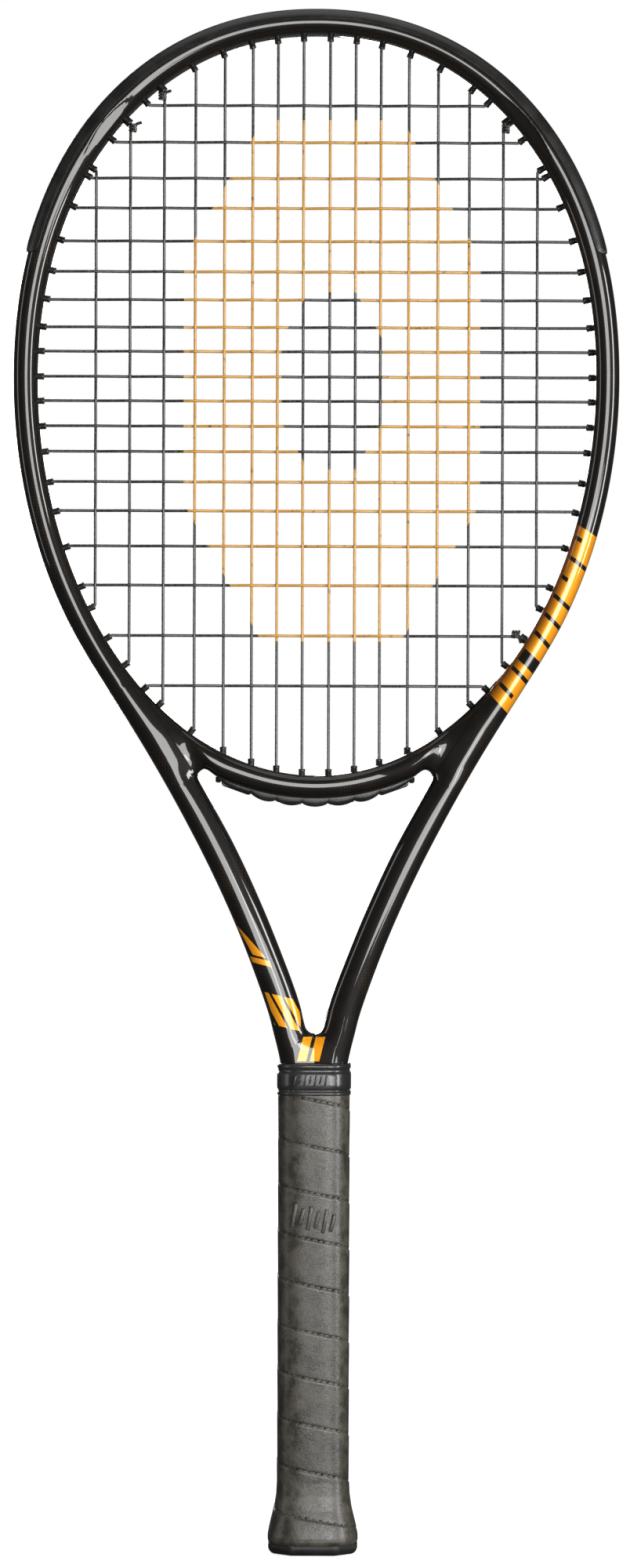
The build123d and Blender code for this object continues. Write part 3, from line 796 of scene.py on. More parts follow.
# ------------------------------------------------------------------ the frame's form
@dataclass
class FrameForm:
    """Plan outlines and thickness of the frame, in millimetres, for its right half.

    The head is a superellipse, and the outlines of the shafts and the throat are smooth curves
    through measured points. Pairs of numbers are the heights or gaps that a change runs between.
    """

    half_width: float = 123.9
    centre: float = 522.0
    drop: float = 176.6
    rise: float = 152.8
    crown_power: float = 2.12
    seat_power: float = 2.0
    beam: float = 10.9
    crown_beam: float = 10.1
    shoulder: float = 1.2
    last_angle: float = -41.0
    seam_angle: float = -49.5
    foot: float = 205.0
    shaft: tuple[tuple[float, float], ...] = (
        (92.3, 383.5), (74.8, 355.5), (58.9, 327.6), (44.6, 299.7), (32.2, 271.8), (21.8, 243.9),
        (17.9, 230.0), (15.0, 217.6), (13.4, 205.0))
    arch_end: float = 44.0
    corner: tuple[float, float] = (52.3, 344.7)
    above_corner: tuple[tuple[float, float], ...] = ((48.3, 347.9), (51.1, 347.2))
    below_corner: tuple[tuple[float, float], ...] = (
        (50.9, 341.6), (35.6, 313.7), (22.7, 285.8), (11.5, 257.9), (6.6, 243.9), (4.95, 237.0),
        (3.6, 232.6), (1.6, 230.8), (0.0, 230.5))
    foot_depth: float = 19.0
    shaft_swell: float = 3.6
    shaft_swell_z: tuple[float, float] = (206.0, 290.0)
    head_swell: float = 2.2
    head_swell_z: tuple[float, float] = (240.0, 685.8)
    face_power: float = 2.3
    hoop_rounding: float = 0.1
    head_z: tuple[float, float] = (345.0, 420.0)
    ridge_lean: float = 0.14
    flank: float = 8.5
    wall_power: float = 4.4
    ridge: float = 5.2
    ridge_blend: float = 5.0
    fall_end: float = 19.0
    fall: float = 0.03
    junction_fall: float = 0.27
    junction_low: tuple[float, float] = (325.0, 352.0)
    junction_high: tuple[float, float] = (385.0, 425.0)
    root_fall: float = 0.07
    root_z: tuple[float, float] = (225.0, 262.0)
    throat_lip: float = 4.0
    scoop_angles: tuple[float, float] = (32.0, 56.0)
    scoop_fullness: float = 0.7
    scoop_width: float = 6.0
    scoop_depth: float = 2.1
    scoop_step: float = 0.3
    bridge_base: float = 335.1
    bridge_radius: float = 103.3
    bridge_half_depth: float = 10.2
    levels: tuple[float, ...] = (0.60, 0.70, 0.78, 0.85, 0.905, 0.945, 0.972, 0.988)
    wall: tuple[float, ...] = (0.48, 0.24, 0.0)
    groove: float = 0.04
    groove_half: float = 0.35

    def __post_init__(self) -> None:
        """Works out the outlines."""
        angles = np.arange(90, self.last_angle - 0.5, -1.0)
        hoop_edge = self.rim(angles, self.beam_width(angles))
        tail = smooth_curve([hoop_edge[-9], hoop_edge[-1], *self.shaft])[SPAN_STEPS:]
        self.outer = np.vstack([hoop_edge[:-1], tail])
        self.head = self.rim(np.arange(90, -91, -1.0))
        across = np.linspace(0, self.arch_end, 23)
        under = self.underside(across)
        arch = np.stack([across, under], axis=1)
        turn = smooth_curve([arch[-2], (self.arch_end, under[-1]), *self.above_corner, self.corner,
                             *self.below_corner])[SPAN_STEPS:]
        self.throat = np.vstack([arch[:-1], turn])
        self.throat[-1, 0] = 0.0
        self.root = len(self.throat) - 1
        self.corner_at = int(np.argmin(np.linalg.norm(self.throat - self.corner, axis=1)))
        start = self.rim(np.array([self.seam_angle]))[0]
        end = self.throat[self.corner_at]
        self.seam = np.linspace(start, end, 40)

    def rim(self, angles: Points, out: Any = 0.0) -> Points:
        """Points round the head.

        Args:
            angles: degrees round the head, 90 at the crown.
            out: millimetres outside the inner rim.

        Returns:
            Rows of x and z.
        """
        cosine = np.cos(np.radians(angles))
        sine = np.sin(np.radians(angles))
        upper = sine >= 0
        power = np.where(upper, self.crown_power, self.seat_power)
        reach = np.where(upper, self.rise, self.drop)
        across = np.sign(cosine) * np.abs(cosine) ** (2 / power)
        along = np.sign(sine) * np.abs(sine) ** (2 / power)
        way = np.stack([np.sign(cosine) * np.abs(across) ** (power - 1) / self.half_width,
                        np.sign(sine) * np.abs(along) ** (power - 1) / reach], axis=1)
        way /= np.linalg.norm(way, axis=1, keepdims=True)
        spot = np.stack([self.half_width * across, self.centre + reach * along], axis=1)
        return spot + way * np.reshape(out, (-1, 1))

    def beam_width(self, angles: Points) -> Points:
        """Width of the beam at angles round the head."""
        upper = self.crown_beam + (self.beam - self.crown_beam) * np.cos(np.radians(angles)) ** 2
        upper = upper + self.shoulder * np.sin(np.radians(2 * angles)) ** 2
        return np.where(angles < 0, self.beam, upper)

    def underside(self, x: Points) -> Points:
        """Height of the underside of the bridge."""
        return self.bridge_base + self.bridge_radius - np.sqrt(self.bridge_radius ** 2 - x ** 2)

    def half_depth(self, z: Points) -> Points:
        """Half of the beam's depth at a height."""
        low, high = self.head_swell_z
        bulge = self.head_swell * np.sin(np.pi * np.clip((z - low) / (high - low), 0, 1))
        return (self.foot_depth + self.shaft_swell * ease(z, *self.shaft_swell_z) + bulge) / 2

    def face_power_at(self, z: Points) -> Points:
        """How flat the beam's face is: round on the hoop, flatter on the shafts."""
        return self.face_power - self.hoop_rounding * ease(z, *self.head_z)

    def edge_half(self, points: Points) -> tuple[Points, Points]:
        """Gap to the nearest outline, and the width that the rounding spreads over.

        Args:
            points: rows of x and z.

        Returns:
            The gap and the half width at each point.
        """
        gaps = np.stack([nearest(points, c) for c in (self.outer, self.head, self.throat)])
        lean = 1.0 + self.ridge_lean * (1 - ease(points[:, 1], *self.head_z))
        gaps = gaps * np.stack([lean, np.ones(len(lean)), 1 / lean])
        gaps.sort(axis=0)
        return gaps[0], np.minimum((gaps[0] + gaps[1]) / 2, self.flank)

    def face(self, points: Points, half_depth: Points | None = None) -> Points:
        """Distance of the front surface from the string plane.

        Args:
            points: rows of x and z.
            half_depth: half of the depth there, or None for the beam's own.

        Returns:
            One distance for each point.
        """
        gap, half = self.edge_half(points)
        depth = self.half_depth(points[:, 1]) if half_depth is None else half_depth
        rest = 1 - np.clip(gap / half, 0, 1)
        full = depth * (1 - rest ** self.face_power_at(points[:, 1])) ** (1 / self.wall_power)
        return np.minimum(full, self.scoop(points, depth)) - self.valley(points)

    def valley(self, points: Points) -> Points:
        """How far the face of the shafts falls away inside the ridge near their outer edge.

        Args:
            points: rows of x and z.

        Returns:
            One distance for each point.
        """
        z = points[:, 1]
        below_head = 1 - ease(z, *self.junction_high)
        slope = (self.fall + self.junction_fall * ease(z, *self.junction_low)) * below_head
        slope = slope + self.root_fall * (1 - ease(z, *self.root_z))
        run = np.clip(nearest(points, self.outer) - self.ridge, 0, self.fall_end - self.ridge)
        lip = 1 - np.clip(nearest(points, self.throat) / self.throat_lip, 0, 1)
        return slope * run ** 2 / (run + self.ridge_blend) * (1 - lip ** 2)

    def scoop(self, points: Points, depth: Points) -> Points:
        """Limit that the two lens-shaped facets at the shoulders put on the face.

        Args:
            points: rows of x and z.
            depth: half of the beam's depth there.

        Returns:
            The most that the face may stand out.
        """
        angle = np.degrees(np.arctan2((points[:, 1] - self.centre) / self.rise,
                                      np.abs(points[:, 0]) / self.half_width))
        low, high = self.scoop_angles
        share = np.clip((angle - low) / (high - low), 0, 1)
        lens = np.sin(np.pi * share) ** self.scoop_fullness
        inset = nearest(points, self.head)
        width = self.scoop_width * lens + 1e-6
        slant = self.scoop_depth * np.clip(1 - inset / width, 0, 1)
        return depth - lens * (slant + self.scoop_step * (inset < width))

    def rounding(self, z: Points, level: Any) -> Points:
        """Part of the half width that lies outside a level of the side wall.

        Args:
            z: height of the row.
            level: part of the half depth.

        Returns:
            Part of the half width.
        """
        return 1 - (1 - np.asarray(level) ** self.wall_power) ** (1 / self.face_power_at(z))

    def seam_groove(self, points: Points) -> Points:
        """Depth of the fine groove along the seam of the hairpin and the bridge."""
        return self.groove * np.exp(-(nearest(points, self.seam) / self.groove_half) ** 2)

    def wall_levels(self) -> list[float]:
        """Levels of a side wall, from the front to the back."""
        return [*self.wall, *[-v for v in self.wall[-2::-1]]]


@dataclass
class Hairpin:
    """The one-piece hoop and shafts, with the string channel round the outside."""

    form: FrameForm
    middle: int = 11
    hoop_rows: int = 150
    bend_rows: int = 8
    seam_rows: int = 37
    foot_rows: int = 13
    mark_heights: tuple[float, ...] = (399.2, 381.2, 337.4, 221.0)
    graded_end: float = 14.0
    seam_clear: float = 0.1
    seam_step: float = 0.34
    axis_step: float = 0.3
    channel_depth: float = 3.0
    channel_half: float = 2.7
    channel_z: tuple[float, float] = (326.0, 336.0)
    channel_form: tuple[tuple[float, float], ...] = (
        (0.03, 0.25), (0.1, 0.0), (0.96, -0.05), (1.0, -0.35))

    def rows(self) -> tuple[Points, Points, int, tuple[int, int]]:
        """Ends of each row across the beam, from the crown to the foot.

        Returns:
            Inner ends, outer ends, the row at the throat's root, and the rows of the seam.
        """
        form = self.form
        angles = np.linspace(90, form.last_angle, self.hoop_rows)
        inner = [form.rim(angles)]
        outer = [form.rim(angles, form.beam_width(angles))]
        bend = form.rim(np.linspace(form.last_angle, form.seam_angle, self.bend_rows + 1)[1:])
        seam = np.linspace(0, run_lengths(form.seam)[-1], self.seam_rows + 1)[1:]
        throat = form.throat[form.corner_at:]
        graded = self._graded(run_lengths(throat)[-1])
        down = np.linspace(form.throat[form.root, 1], form.foot, self.foot_rows + 1)[1:]
        axis = np.stack([np.zeros(len(down)), down], axis=1)
        inside = np.vstack([bend, at_length(form.seam, seam), at_length(throat, graded), axis])
        seam_row = self.hoop_rows + self.bend_rows - 1
        corner_row = seam_row + self.seam_rows
        root_row = corner_row + len(graded)
        ends = (0, self.bend_rows - 1, corner_row - self.hoop_rows, root_row - self.hoop_rows,
                len(inside) - 1)
        marks = np.array(ends)
        heights = np.array([*self.mark_heights, form.foot])
        outer_z = form.outer[:, 1][::-1]
        outer_run = np.interp(heights, outer_z, run_lengths(form.outer)[::-1])
        steps = self._matched(inside, marks, outer_run)
        inner.append(inside)
        outer.append(at_length(form.outer, steps))
        return np.vstack(inner), np.vstack(outer), root_row, (seam_row, corner_row)

    def _graded(self, length: float) -> Points:
        """Distances along the inside of the throat, closer together near its root."""
        bend = length - self.graded_end
        return np.concatenate([np.linspace(0, bend, 62)[1:], np.linspace(bend, length, 20)[1:]])

    @staticmethod
    def _matched(inside: Points, marks: Points, outer_run: Points) -> Points:
        """Distance along the outer edge for each inner end.

        Args:
            inside: the inner ends.
            marks: rows whose outer ends are known.
            outer_run: distances along the outer edge of those.

        Returns:
            One distance for each row.
        """
        runs = run_lengths(inside)
        return np.interp(runs, runs[marks], outer_run)

    def build(self, palette: Palette) -> bpy.types.Object:
        """Builds the piece.

        Args:
            palette: the finishes.

        Returns:
            The object.
        """
        inner, outer, root, seam = self.rows()
        form = self.form
        count = len(inner)
        width = np.linalg.norm(outer - inner, axis=1)
        way = (outer - inner) / width[:, None]
        row_z = (inner[:, 1] + outer[:, 1]) / 2
        half_in = form.edge_half(inner)[1]
        half_out = form.edge_half(outer)[1]
        cut = np.zeros(count, bool)
        cut[seam[0] + 1:seam[1]] = True
        closed = np.arange(count) >= root
        depth_in, depth_out = form.half_depth(inner[:, 1]), form.half_depth(outer[:, 1])
        near = [np.where(cut, self.seam_clear + self.seam_step * k,
                         half_in * form.rounding(row_z, v)) for k, v in enumerate(form.levels)]
        near = [np.where(closed, self.axis_step * k, n) for k, n in enumerate(near)]
        far = [width - half_out * form.rounding(row_z, v) for v in form.levels[::-1]]
        spans = [near[-1] + (far[0] - near[-1]) * k / (self.middle + 1)
                 for k in range(1, self.middle + 1)]
        insets = np.stack([*near, *spans, *far], axis=1)
        plan = inner[:, None, :] + way[:, None, :] * insets[:, :, None]
        plan[closed, 0, 0] = 0.0
        flat = plan.reshape(-1, 2)
        face = (form.face(flat) - form.seam_groove(flat)).reshape(insets.shape)
        skin = Skin()
        outside = self._outside(outer, way, depth_out, half_out, row_z)
        front = np.stack([plan[..., 0], -face, plan[..., 1]], axis=2)
        back = front[:, ::-1] * (1, -1, 1)
        path = run_lengths((inner + outer) / 2)
        across = insets / width[:, None]
        edge = np.ones((count, outside.shape[1]))
        notes = {"path": np.repeat(path[:, None], 2 * insets.shape[1] + edge.shape[1], 1),
                 "across": np.concatenate([across, edge, across[:, ::-1]], axis=1)}
        skin.grid(np.concatenate([front, outside, back], axis=1), **notes)
        inside = self._inside(inner, way, depth_in, half_in, row_z, cut, front, root)
        skin.grid(inside, flip=True, path=np.repeat(path[:root + 1, None], inside.shape[1], 1),
                  across=np.zeros(inside.shape[:2]))
        foot = np.concatenate([front[-1], outside[-1], back[-1]])
        skin.add(foot, [tuple(range(len(foot)))], path=np.full(len(foot), path[-1]),
                 across=np.zeros(len(foot)))
        skin.mirrored()
        return skin.piece("frame_shell", Slot.FRAME, palette, "frame_hairpin")

    def _outside(self, outer: Points, way: Points, depth: Points, half: Points,
                 row_z: Points) -> Points:
        """Outer wall with the string channel.

        Args:
            outer: outer ends of the rows.
            way: direction of each row, outwards.
            depth: half depth at each row.
            half: half width that the rounding spreads over.
            row_z: height of each row.

        Returns:
            Rows of points from front to back.
        """
        sink = self.channel_depth * ease(outer[:, 1], *self.channel_z)
        parts = []
        for v in self.form.wall[:-1]:
            inset = half * self.form.rounding(row_z, v)
            parts.append((inset, v * depth))
        for share, wider in self.channel_form:
            parts.append((share * sink, np.full(len(outer), self.channel_half + wider)))
        points = []
        for inset, y in parts + [(i, -y) for i, y in parts[::-1]]:
            plan = outer - way * inset[:, None]
            points.append(np.stack([plan[:, 0], -y, plan[:, 1]], axis=1))
        return np.stack(points, axis=1)

    def _inside(self, inner: Points, way: Points, depth: Points, half: Points, row_z: Points,
                cut: Points, front: Points, root: int) -> Points:
        """Inner wall, from the crown to the throat's root.

        Args:
            inner: inner ends of the rows.
            way: direction of each row, outwards.
            depth: half depth at each row.
            half: half width that the rounding spreads over.
            row_z: height of each row.
            cut: rows that end on the seam.
            front: the front face's points.
            root: last row of the wall.

        Returns:
            Rows of points from front to back.
        """
        points = [front[:, 0]]
        for v in self.form.wall_levels():
            inset = np.where(cut, 0.0, half * self.form.rounding(row_z, abs(v)))
            plan = inner + way * inset[:, None]
            points.append(np.stack([plan[:, 0], -v * depth, plan[:, 1]], axis=1))
        points.append(front[:, 0] * (1, -1, 1))
        wall = np.stack(points, axis=1)[:root + 1]
        wall[root, :, 0] = 0.0
        return wall


@dataclass
class Bridge:
    """The yoke under the strings, between the shafts."""

    form: FrameForm
    middle: int = 9
    rows: int = 74
    last_shares: tuple[float, ...] = (0.98, 0.988, 0.993, 0.997, 1.0)
    valley_end: float = 9.0
    depth_end: float = 24.0

    def build(self, palette: Palette) -> bpy.types.Object:
        """Builds the piece.

        Args:
            palette: the finishes.

        Returns:
            The object.
        """
        form = self.form
        share = np.concatenate([np.linspace(0, 0.965, self.rows), self.last_shares])
        top_curve = form.rim(np.linspace(-90, form.seam_angle, 90))
        low_curve = form.throat[:form.corner_at + 1]
        top = at_length(top_curve, share * run_lengths(top_curve)[-1])
        low = at_length(low_curve, share * run_lengths(low_curve)[-1])
        width = np.maximum(np.linalg.norm(low - top, axis=1), 1e-6)
        way = (low - top) / width[:, None]
        half_top, half_low = form.edge_half(top)[1], form.edge_half(low)[1]
        row_z = (top[:, 1] + low[:, 1]) / 2
        near = [half_top * form.rounding(row_z, v) for v in form.levels]
        far = [width - half_low * form.rounding(row_z, v) for v in form.levels[::-1]]
        spans = [near[-1] + (far[0] - near[-1]) * k / (self.middle + 1)
                 for k in range(1, self.middle + 1)]
        insets = np.stack([*near, *spans, *far], axis=1)
        plan = top[:, None, :] + way[:, None, :] * insets[:, :, None]
        flat = plan.reshape(-1, 2)
        seam_gap = nearest(flat, form.seam)
        face = form.face(flat, self._half_depth(flat, seam_gap)) - form.seam_groove(flat)
        face = face + form.valley(flat) * ease(seam_gap, 0.0, self.valley_end)
        face = face.reshape(insets.shape)
        front = np.stack([plan[..., 0], -face, plan[..., 1]], axis=2)
        lower = self._edge(low, -way, half_low, row_z)
        upper = self._edge(top, way, half_top, row_z)[:, ::-1]
        loop = np.concatenate([front, lower, front[:, ::-1] * (1, -1, 1), upper], axis=1)
        skin = Skin()
        skin.grid(loop, closed=True, caps=(False, True))
        skin.mirrored()
        return skin.piece("throat_yoke", Slot.FRAME, palette, "throat_bridge")

    def _half_depth(self, points: Points, seam_gap: Points) -> Points:
        """Half depth: the beam's at the seam, the bridge's own away from it."""
        beam = self.form.half_depth(points[:, 1])
        own = ease(seam_gap, 0.0, self.depth_end)
        return beam + (self.form.bridge_half_depth - beam) * own

    def _edge(self, end: Points, way: Points, half: Points, row_z: Points) -> Points:
        """Side wall at one edge, from front to back.

        Args:
            end: points on the edge.
            way: direction into the bridge.
            half: half width that the rounding spreads over.
            row_z: height of each row.

        Returns:
            Rows of points.
        """
        depth = self._half_depth(end, nearest(end, self.form.seam))
        points = []
        for v in self.form.wall_levels():
            plan = end + way * (half * self.form.rounding(row_z, abs(v)))[:, None]
            points.append(np.stack([plan[:, 0], -v * depth, plan[:, 1]], axis=1))
        return np.stack(points, axis=1)


# ------------------------------------------------------------------ guard and grommets
@dataclass(frozen=True)
class Port:
    """A string hole: where it meets the rim, which way it runs, and its shift in y."""

    rim: tuple[float, float]
    axis: tuple[float, float]
    shift: float = 0.0


@dataclass
class StringPattern:
    """Where the strings pass through the rim."""

    form: FrameForm
    mains: tuple[float, ...] = (5.9, 17.3, 28.5, 41.0, 54.0, 67.9, 83.0, 98.2)
    crosses: tuple[float, ...] = (643.4, 627.0, 611.0, 597.7, 583.0, 569.4, 556.9, 544.7, 533.9,
                                  522.7, 511.9, 500.7, 489.4, 475.9, 463.0, 447.3, 429.9, 407.5,
                                  385.2)
    kink: float = 2.9
    tie_shift: float = 0.68
    bridge_mains: int = 4

    def _square(self, pick: Callable[[Points], Points], target: float, low: float, high: float,
                sign: int, shift: float = 0.0) -> Port:
        """Port square to the rim whose string turns at a target.

        Args:
            pick: gives the measure that has to reach the target.
            target: the measure wanted.
            low: lowest angle to look at.
            high: highest angle.
            sign: 1 on the right, -1 on the left.
            shift: how far the port is moved in y.

        Returns:
            The port.
        """
        angles = np.linspace(low, high, 4001)
        inner = self.form.rim(angles, -self.kink)
        angle = angles[[int(np.argmin(np.abs(pick(inner) - target)))]]
        rim = self.form.rim(angle)[0]
        axis = self.form.rim(angle, 1.0)[0] - rim
        return Port((sign * rim[0], rim[1]), (sign * axis[0], axis[1]), shift)

    def hoop_ports(self) -> list[Port]:
        """Ports through the hoop."""
        ports = []
        ties = {(-1, 6): self.tie_shift, (-1, 5): -self.tie_shift, (1, 6): self.tie_shift}
        for k, x in enumerate(self.mains):
            for sign in (-1, 1):
                shift = ties.get((sign, k), 0.0)
                ports.append(self._square(lambda p: p[:, 0], x, 0, 90, sign, shift))
                if k >= self.bridge_mains:
                    ports.append(self._square(lambda p: p[:, 0], x, -90, 0, sign))
        for j, z in enumerate(self.crosses):
            for sign in (-1, 1):
                tie = sign > 0 and j == len(self.crosses) - 2
                shift = -self.tie_shift if tie else 0.0
                ports.append(self._square(lambda p: p[:, 1], z, -90, 90, sign, shift))
        return ports

    def bridge_ports(self) -> list[Port]:
        """Ports that run straight down through the bridge."""
        ports = []
        for x in self.mains[:self.bridge_mains]:
            z = self.form.centre - self.form.drop * math.sqrt(1 - (x / self.form.half_width) ** 2)
            ports += [Port((sign * x, z), (0.0, -1.0)) for sign in (-1, 1)]
        return ports


@dataclass
class Barrel:
    """A grommet barrel with a rolled mouth, standing out inside the head."""

    reach: float = 2.7
    depth: float = 3.4
    radius: float = 1.5
    bore: float = 0.86
    tie_radius: float = 1.95
    tie_bore: float = 1.46
    sides: int = 14

    def add_to(self, skin: Skin, port: Port) -> None:
        """Adds the barrel of one port.

        Args:
            skin: the mesh that it is added to.
            port: its port.
        """
        radius = self.tie_radius if port.shift else self.radius
        bore = self.tie_bore if port.shift else self.bore
        profile = [(0.5, bore), (-self.reach + 0.2, bore), (-self.reach, bore + 0.16),
                   (-self.reach, radius - 0.18), (-self.reach + 0.12, radius - 0.04),
                   (-self.reach + 0.9, radius), (-self.reach + 1.05, radius - 0.1),
                   (self.depth, radius - 0.02)]
        axis = np.array([port.axis[0], 0.0, port.axis[1]])
        side = np.array([-port.axis[1], 0.0, port.axis[0]])
        start = np.array([port.rim[0], port.shift, port.rim[1]])
        turn = np.arange(self.sides) * 2 * math.pi / self.sides
        around = np.cos(turn)[:, None] * side + np.sin(turn)[:, None] * np.array([0.0, 1.0, 0.0])
        rows = np.stack([start + axis * along + around * r for along, r in profile])
        skin.grid(rows, closed=True, caps=(True, True))


@dataclass(frozen=True)
class KnotSpot:
    """Where a tie-off knot sits and which way the string that it grips runs."""

    name: str
    node: str
    along: tuple[float, float]


@dataclass
class TieKnot:
    """A half hitch drawn tight on a string, with a cut tail."""

    spot: KnotSpot
    cord: float = 0.64
    coil: float = 1.32
    turns: float = 2.4
    pitch: float = 3.1
    sides: int = 12
    tail: tuple[tuple[float, float, float], ...] = (
        (1.75, 1.5, 0.2), (2.25, 0.5, 0.7), (2.3, -0.6, 1.1), (2.15, -1.5, 0.5), (2.5, -2.1, -0.5),
        (3.3, -2.3, -1.2))

    def _route(self) -> Points:
        """Middle line of the knot: coils, then a strand back over them, then the tail."""
        along = np.array([self.spot.along[0], 0.0, self.spot.along[1]])
        across = np.array([along[2], 0.0, -along[0]])
        front = np.array([0.0, -1.0, 0.0])
        low, high = (np.array(corner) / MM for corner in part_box(self.spot.node))
        middle = (low + high) / 2
        route = []
        for t in np.linspace(0, 1, 46):
            turn = 2 * math.pi * self.turns * t
            side = math.cos(turn) * across + math.sin(turn) * front
            route.append(middle + along * (self.pitch * t - 1.7) + side * self.coil)
        ending = 2 * math.pi * self.turns
        lift = math.cos(ending) * across + math.sin(ending) * front
        for reach, back, wave in self.tail:
            route.append(middle + along * back + lift * reach + across * wave)
        return np.asarray(route)

    def build(self, palette: Palette) -> bpy.types.Object:
        """Builds the piece.

        Args:
            palette: the finishes.

        Returns:
            The object.
        """
        coarse = self._route()
        places = np.linspace(0, len(coarse) - 1, 150)
        line = np.stack([np.interp(places, np.arange(len(coarse)), coarse[:, k])
                         for k in range(3)], axis=1)
        for _ in range(3):
            line[1:-1] = (line[:-2] + 2 * line[1:-1] + line[2:]) / 4
        way = np.gradient(line, axis=0)
        way /= np.linalg.norm(way, axis=1, keepdims=True)
        side = np.cross(way[0], (0.3, 0.5, 0.8))
        rows = []
        for spot, ahead in zip(line, way):
            side = side - ahead * (side @ ahead)
            side /= np.linalg.norm(side)
            other = np.cross(ahead, side)
            turn = np.arange(self.sides) * 2 * math.pi / self.sides
            ring = np.cos(turn)[:, None] * side + np.sin(turn)[:, None] * other
            rows.append(spot + self.cord * ring)
        skin = Skin()
        skin.grid(np.stack(rows), closed=True, caps=(True, True))
        return skin.piece(self.spot.name, Slot.STRING, palette, self.spot.node)


@dataclass
class BumperGuard:
    """Guard over the crown and shoulders, with the string channel in its back."""

    form: FrameForm
    pattern: StringPattern
    thick: float = 0.9
    wrap: float = 4.5
    end: float = 577.0
    end_run: float = 4.5
    channel: float = 2.15
    core: float = 3.4
    core_half: float = 3.0
    sunk: tuple[tuple[float, float], ...] = ((1.0, -0.25), (0.5, -0.6))
    sides: tuple[tuple[float, float], ...] = ((0.15, 0.86), (0.7, 0.72), (1.0, 0.55))
    lips: tuple[tuple[float, float], ...] = ((1.0, 3.3), (0.7, 2.85), (0.2, 2.55), (-2.2, 2.45))

    def build(self, palette: Palette) -> bpy.types.Object:
        """Builds the piece.

        Args:
            palette: the finishes.

        Returns:
            The object.
        """
        form = self.form
        angles = np.linspace(90, 12, 240)
        edge = form.rim(angles, form.beam_width(angles))
        angles = angles[edge[:, 1] >= self.end]
        edge = form.rim(angles, form.beam_width(angles))
        away = form.rim(angles, form.beam_width(angles) + 1.0) - edge
        left = run_lengths(edge)[-1] - run_lengths(edge)
        ending = np.sqrt(np.clip(1 - (1 - np.clip(left / self.end_run, 0, 1)) ** 2, 0, 1))
        wrap = self.wrap * (0.45 + 0.55 * ending)
        thick = self.thick * (0.55 + 0.45 * ending)
        outer = [(wrap, -0.2), (wrap, 0.35), (wrap - 0.35, 0.85), (wrap * 0.72, 1.0),
                 (wrap * 0.45, 1.0)]
        loop = []
        for inset, lift in outer:
            plan = edge - away * inset[:, None]
            y = form.face(plan) + lift * thick
            loop.append((plan, y))
        depth = form.half_depth(edge[:, 1])
        for out, level in self.sides:
            loop.append((edge + away * (out * thick)[:, None], depth * level))
        for out, y in (*self.lips, (-2.35, self.channel)):
            reach = out * thick if out > 0 else np.full(len(edge), out)
            loop.append((edge + away * reach[:, None], np.full(len(edge), y)))
        loop += [(plan, -y) for plan, y in loop[::-1]]
        for part, y in self.sunk:
            plan = edge - away * (wrap * part)[:, None]
            loop.append((plan, -(form.face(plan) + y)))
        hidden = edge - away * self.core
        loop.append((hidden, np.full(len(edge), -self.core_half)))
        loop.append((hidden, np.full(len(edge), self.core_half)))
        for part, y in self.sunk[::-1]:
            plan = edge - away * (wrap * part)[:, None]
            loop.append((plan, form.face(plan) + y))
        rows = np.stack([np.stack([p[:, 0], -y, p[:, 1]], axis=1) for p, y in loop], axis=1)
        skin = Skin()
        skin.grid(rows, closed=True, caps=(False, True))
        skin.mirrored()
        for port in self.pattern.hoop_ports():
            if port.rim[1] > self.end:
                Barrel().add_to(skin, port)
        return skin.piece("crown_guard", Slot.GUARD, palette, "bumper_guard")


@dataclass
class SideStrip:
    """Grommet strip in the channel down one side of the hoop."""

    form: FrameForm
    pattern: StringPattern
    half: Half
    floor: float = 3.0
    thick: float = 0.65
    half_depth: float = 2.55
    low: float = 336.0
    high: float = 576.9

    def build(self, palette: Palette) -> bpy.types.Object:
        """Builds the piece.

        Args:
            palette: the finishes.

        Returns:
            The object.
        """
        outer = self.form.outer
        keep = (outer[:, 1] > self.low) & (outer[:, 1] < self.high)
        edge = outer[keep]
        way = np.gradient(edge, axis=0)
        way /= np.linalg.norm(way, axis=1, keepdims=True)
        away = np.stack([-way[:, 1], way[:, 0]], axis=1)
        loop = []
        profile = [(self.floor, self.half_depth), (self.floor - 0.9, self.half_depth),
                   (self.floor - 0.95, self.half_depth - 0.3),
                   (self.floor - self.thick, self.half_depth - 0.45)]
        for inset, y in profile + [(i, -y) for i, y in profile[::-1]]:
            plan = edge - away * inset
            loop.append(np.stack([self.half.value * plan[:, 0], np.full(len(plan), -y), plan[:, 1]],
                                 axis=1))
        skin = Skin()
        skin.grid(np.stack(loop, axis=1), closed=True, caps=(True, True))
        for port in self.pattern.hoop_ports():
            if port.rim[1] < self.high and port.rim[0] * self.half.value > 0:
                Barrel().add_to(skin, port)
        side = self.half.name.lower()
        return skin.piece(f"{side}_side_strip", Slot.GROMMET, palette,
                          f"{side}_grommet_strip")


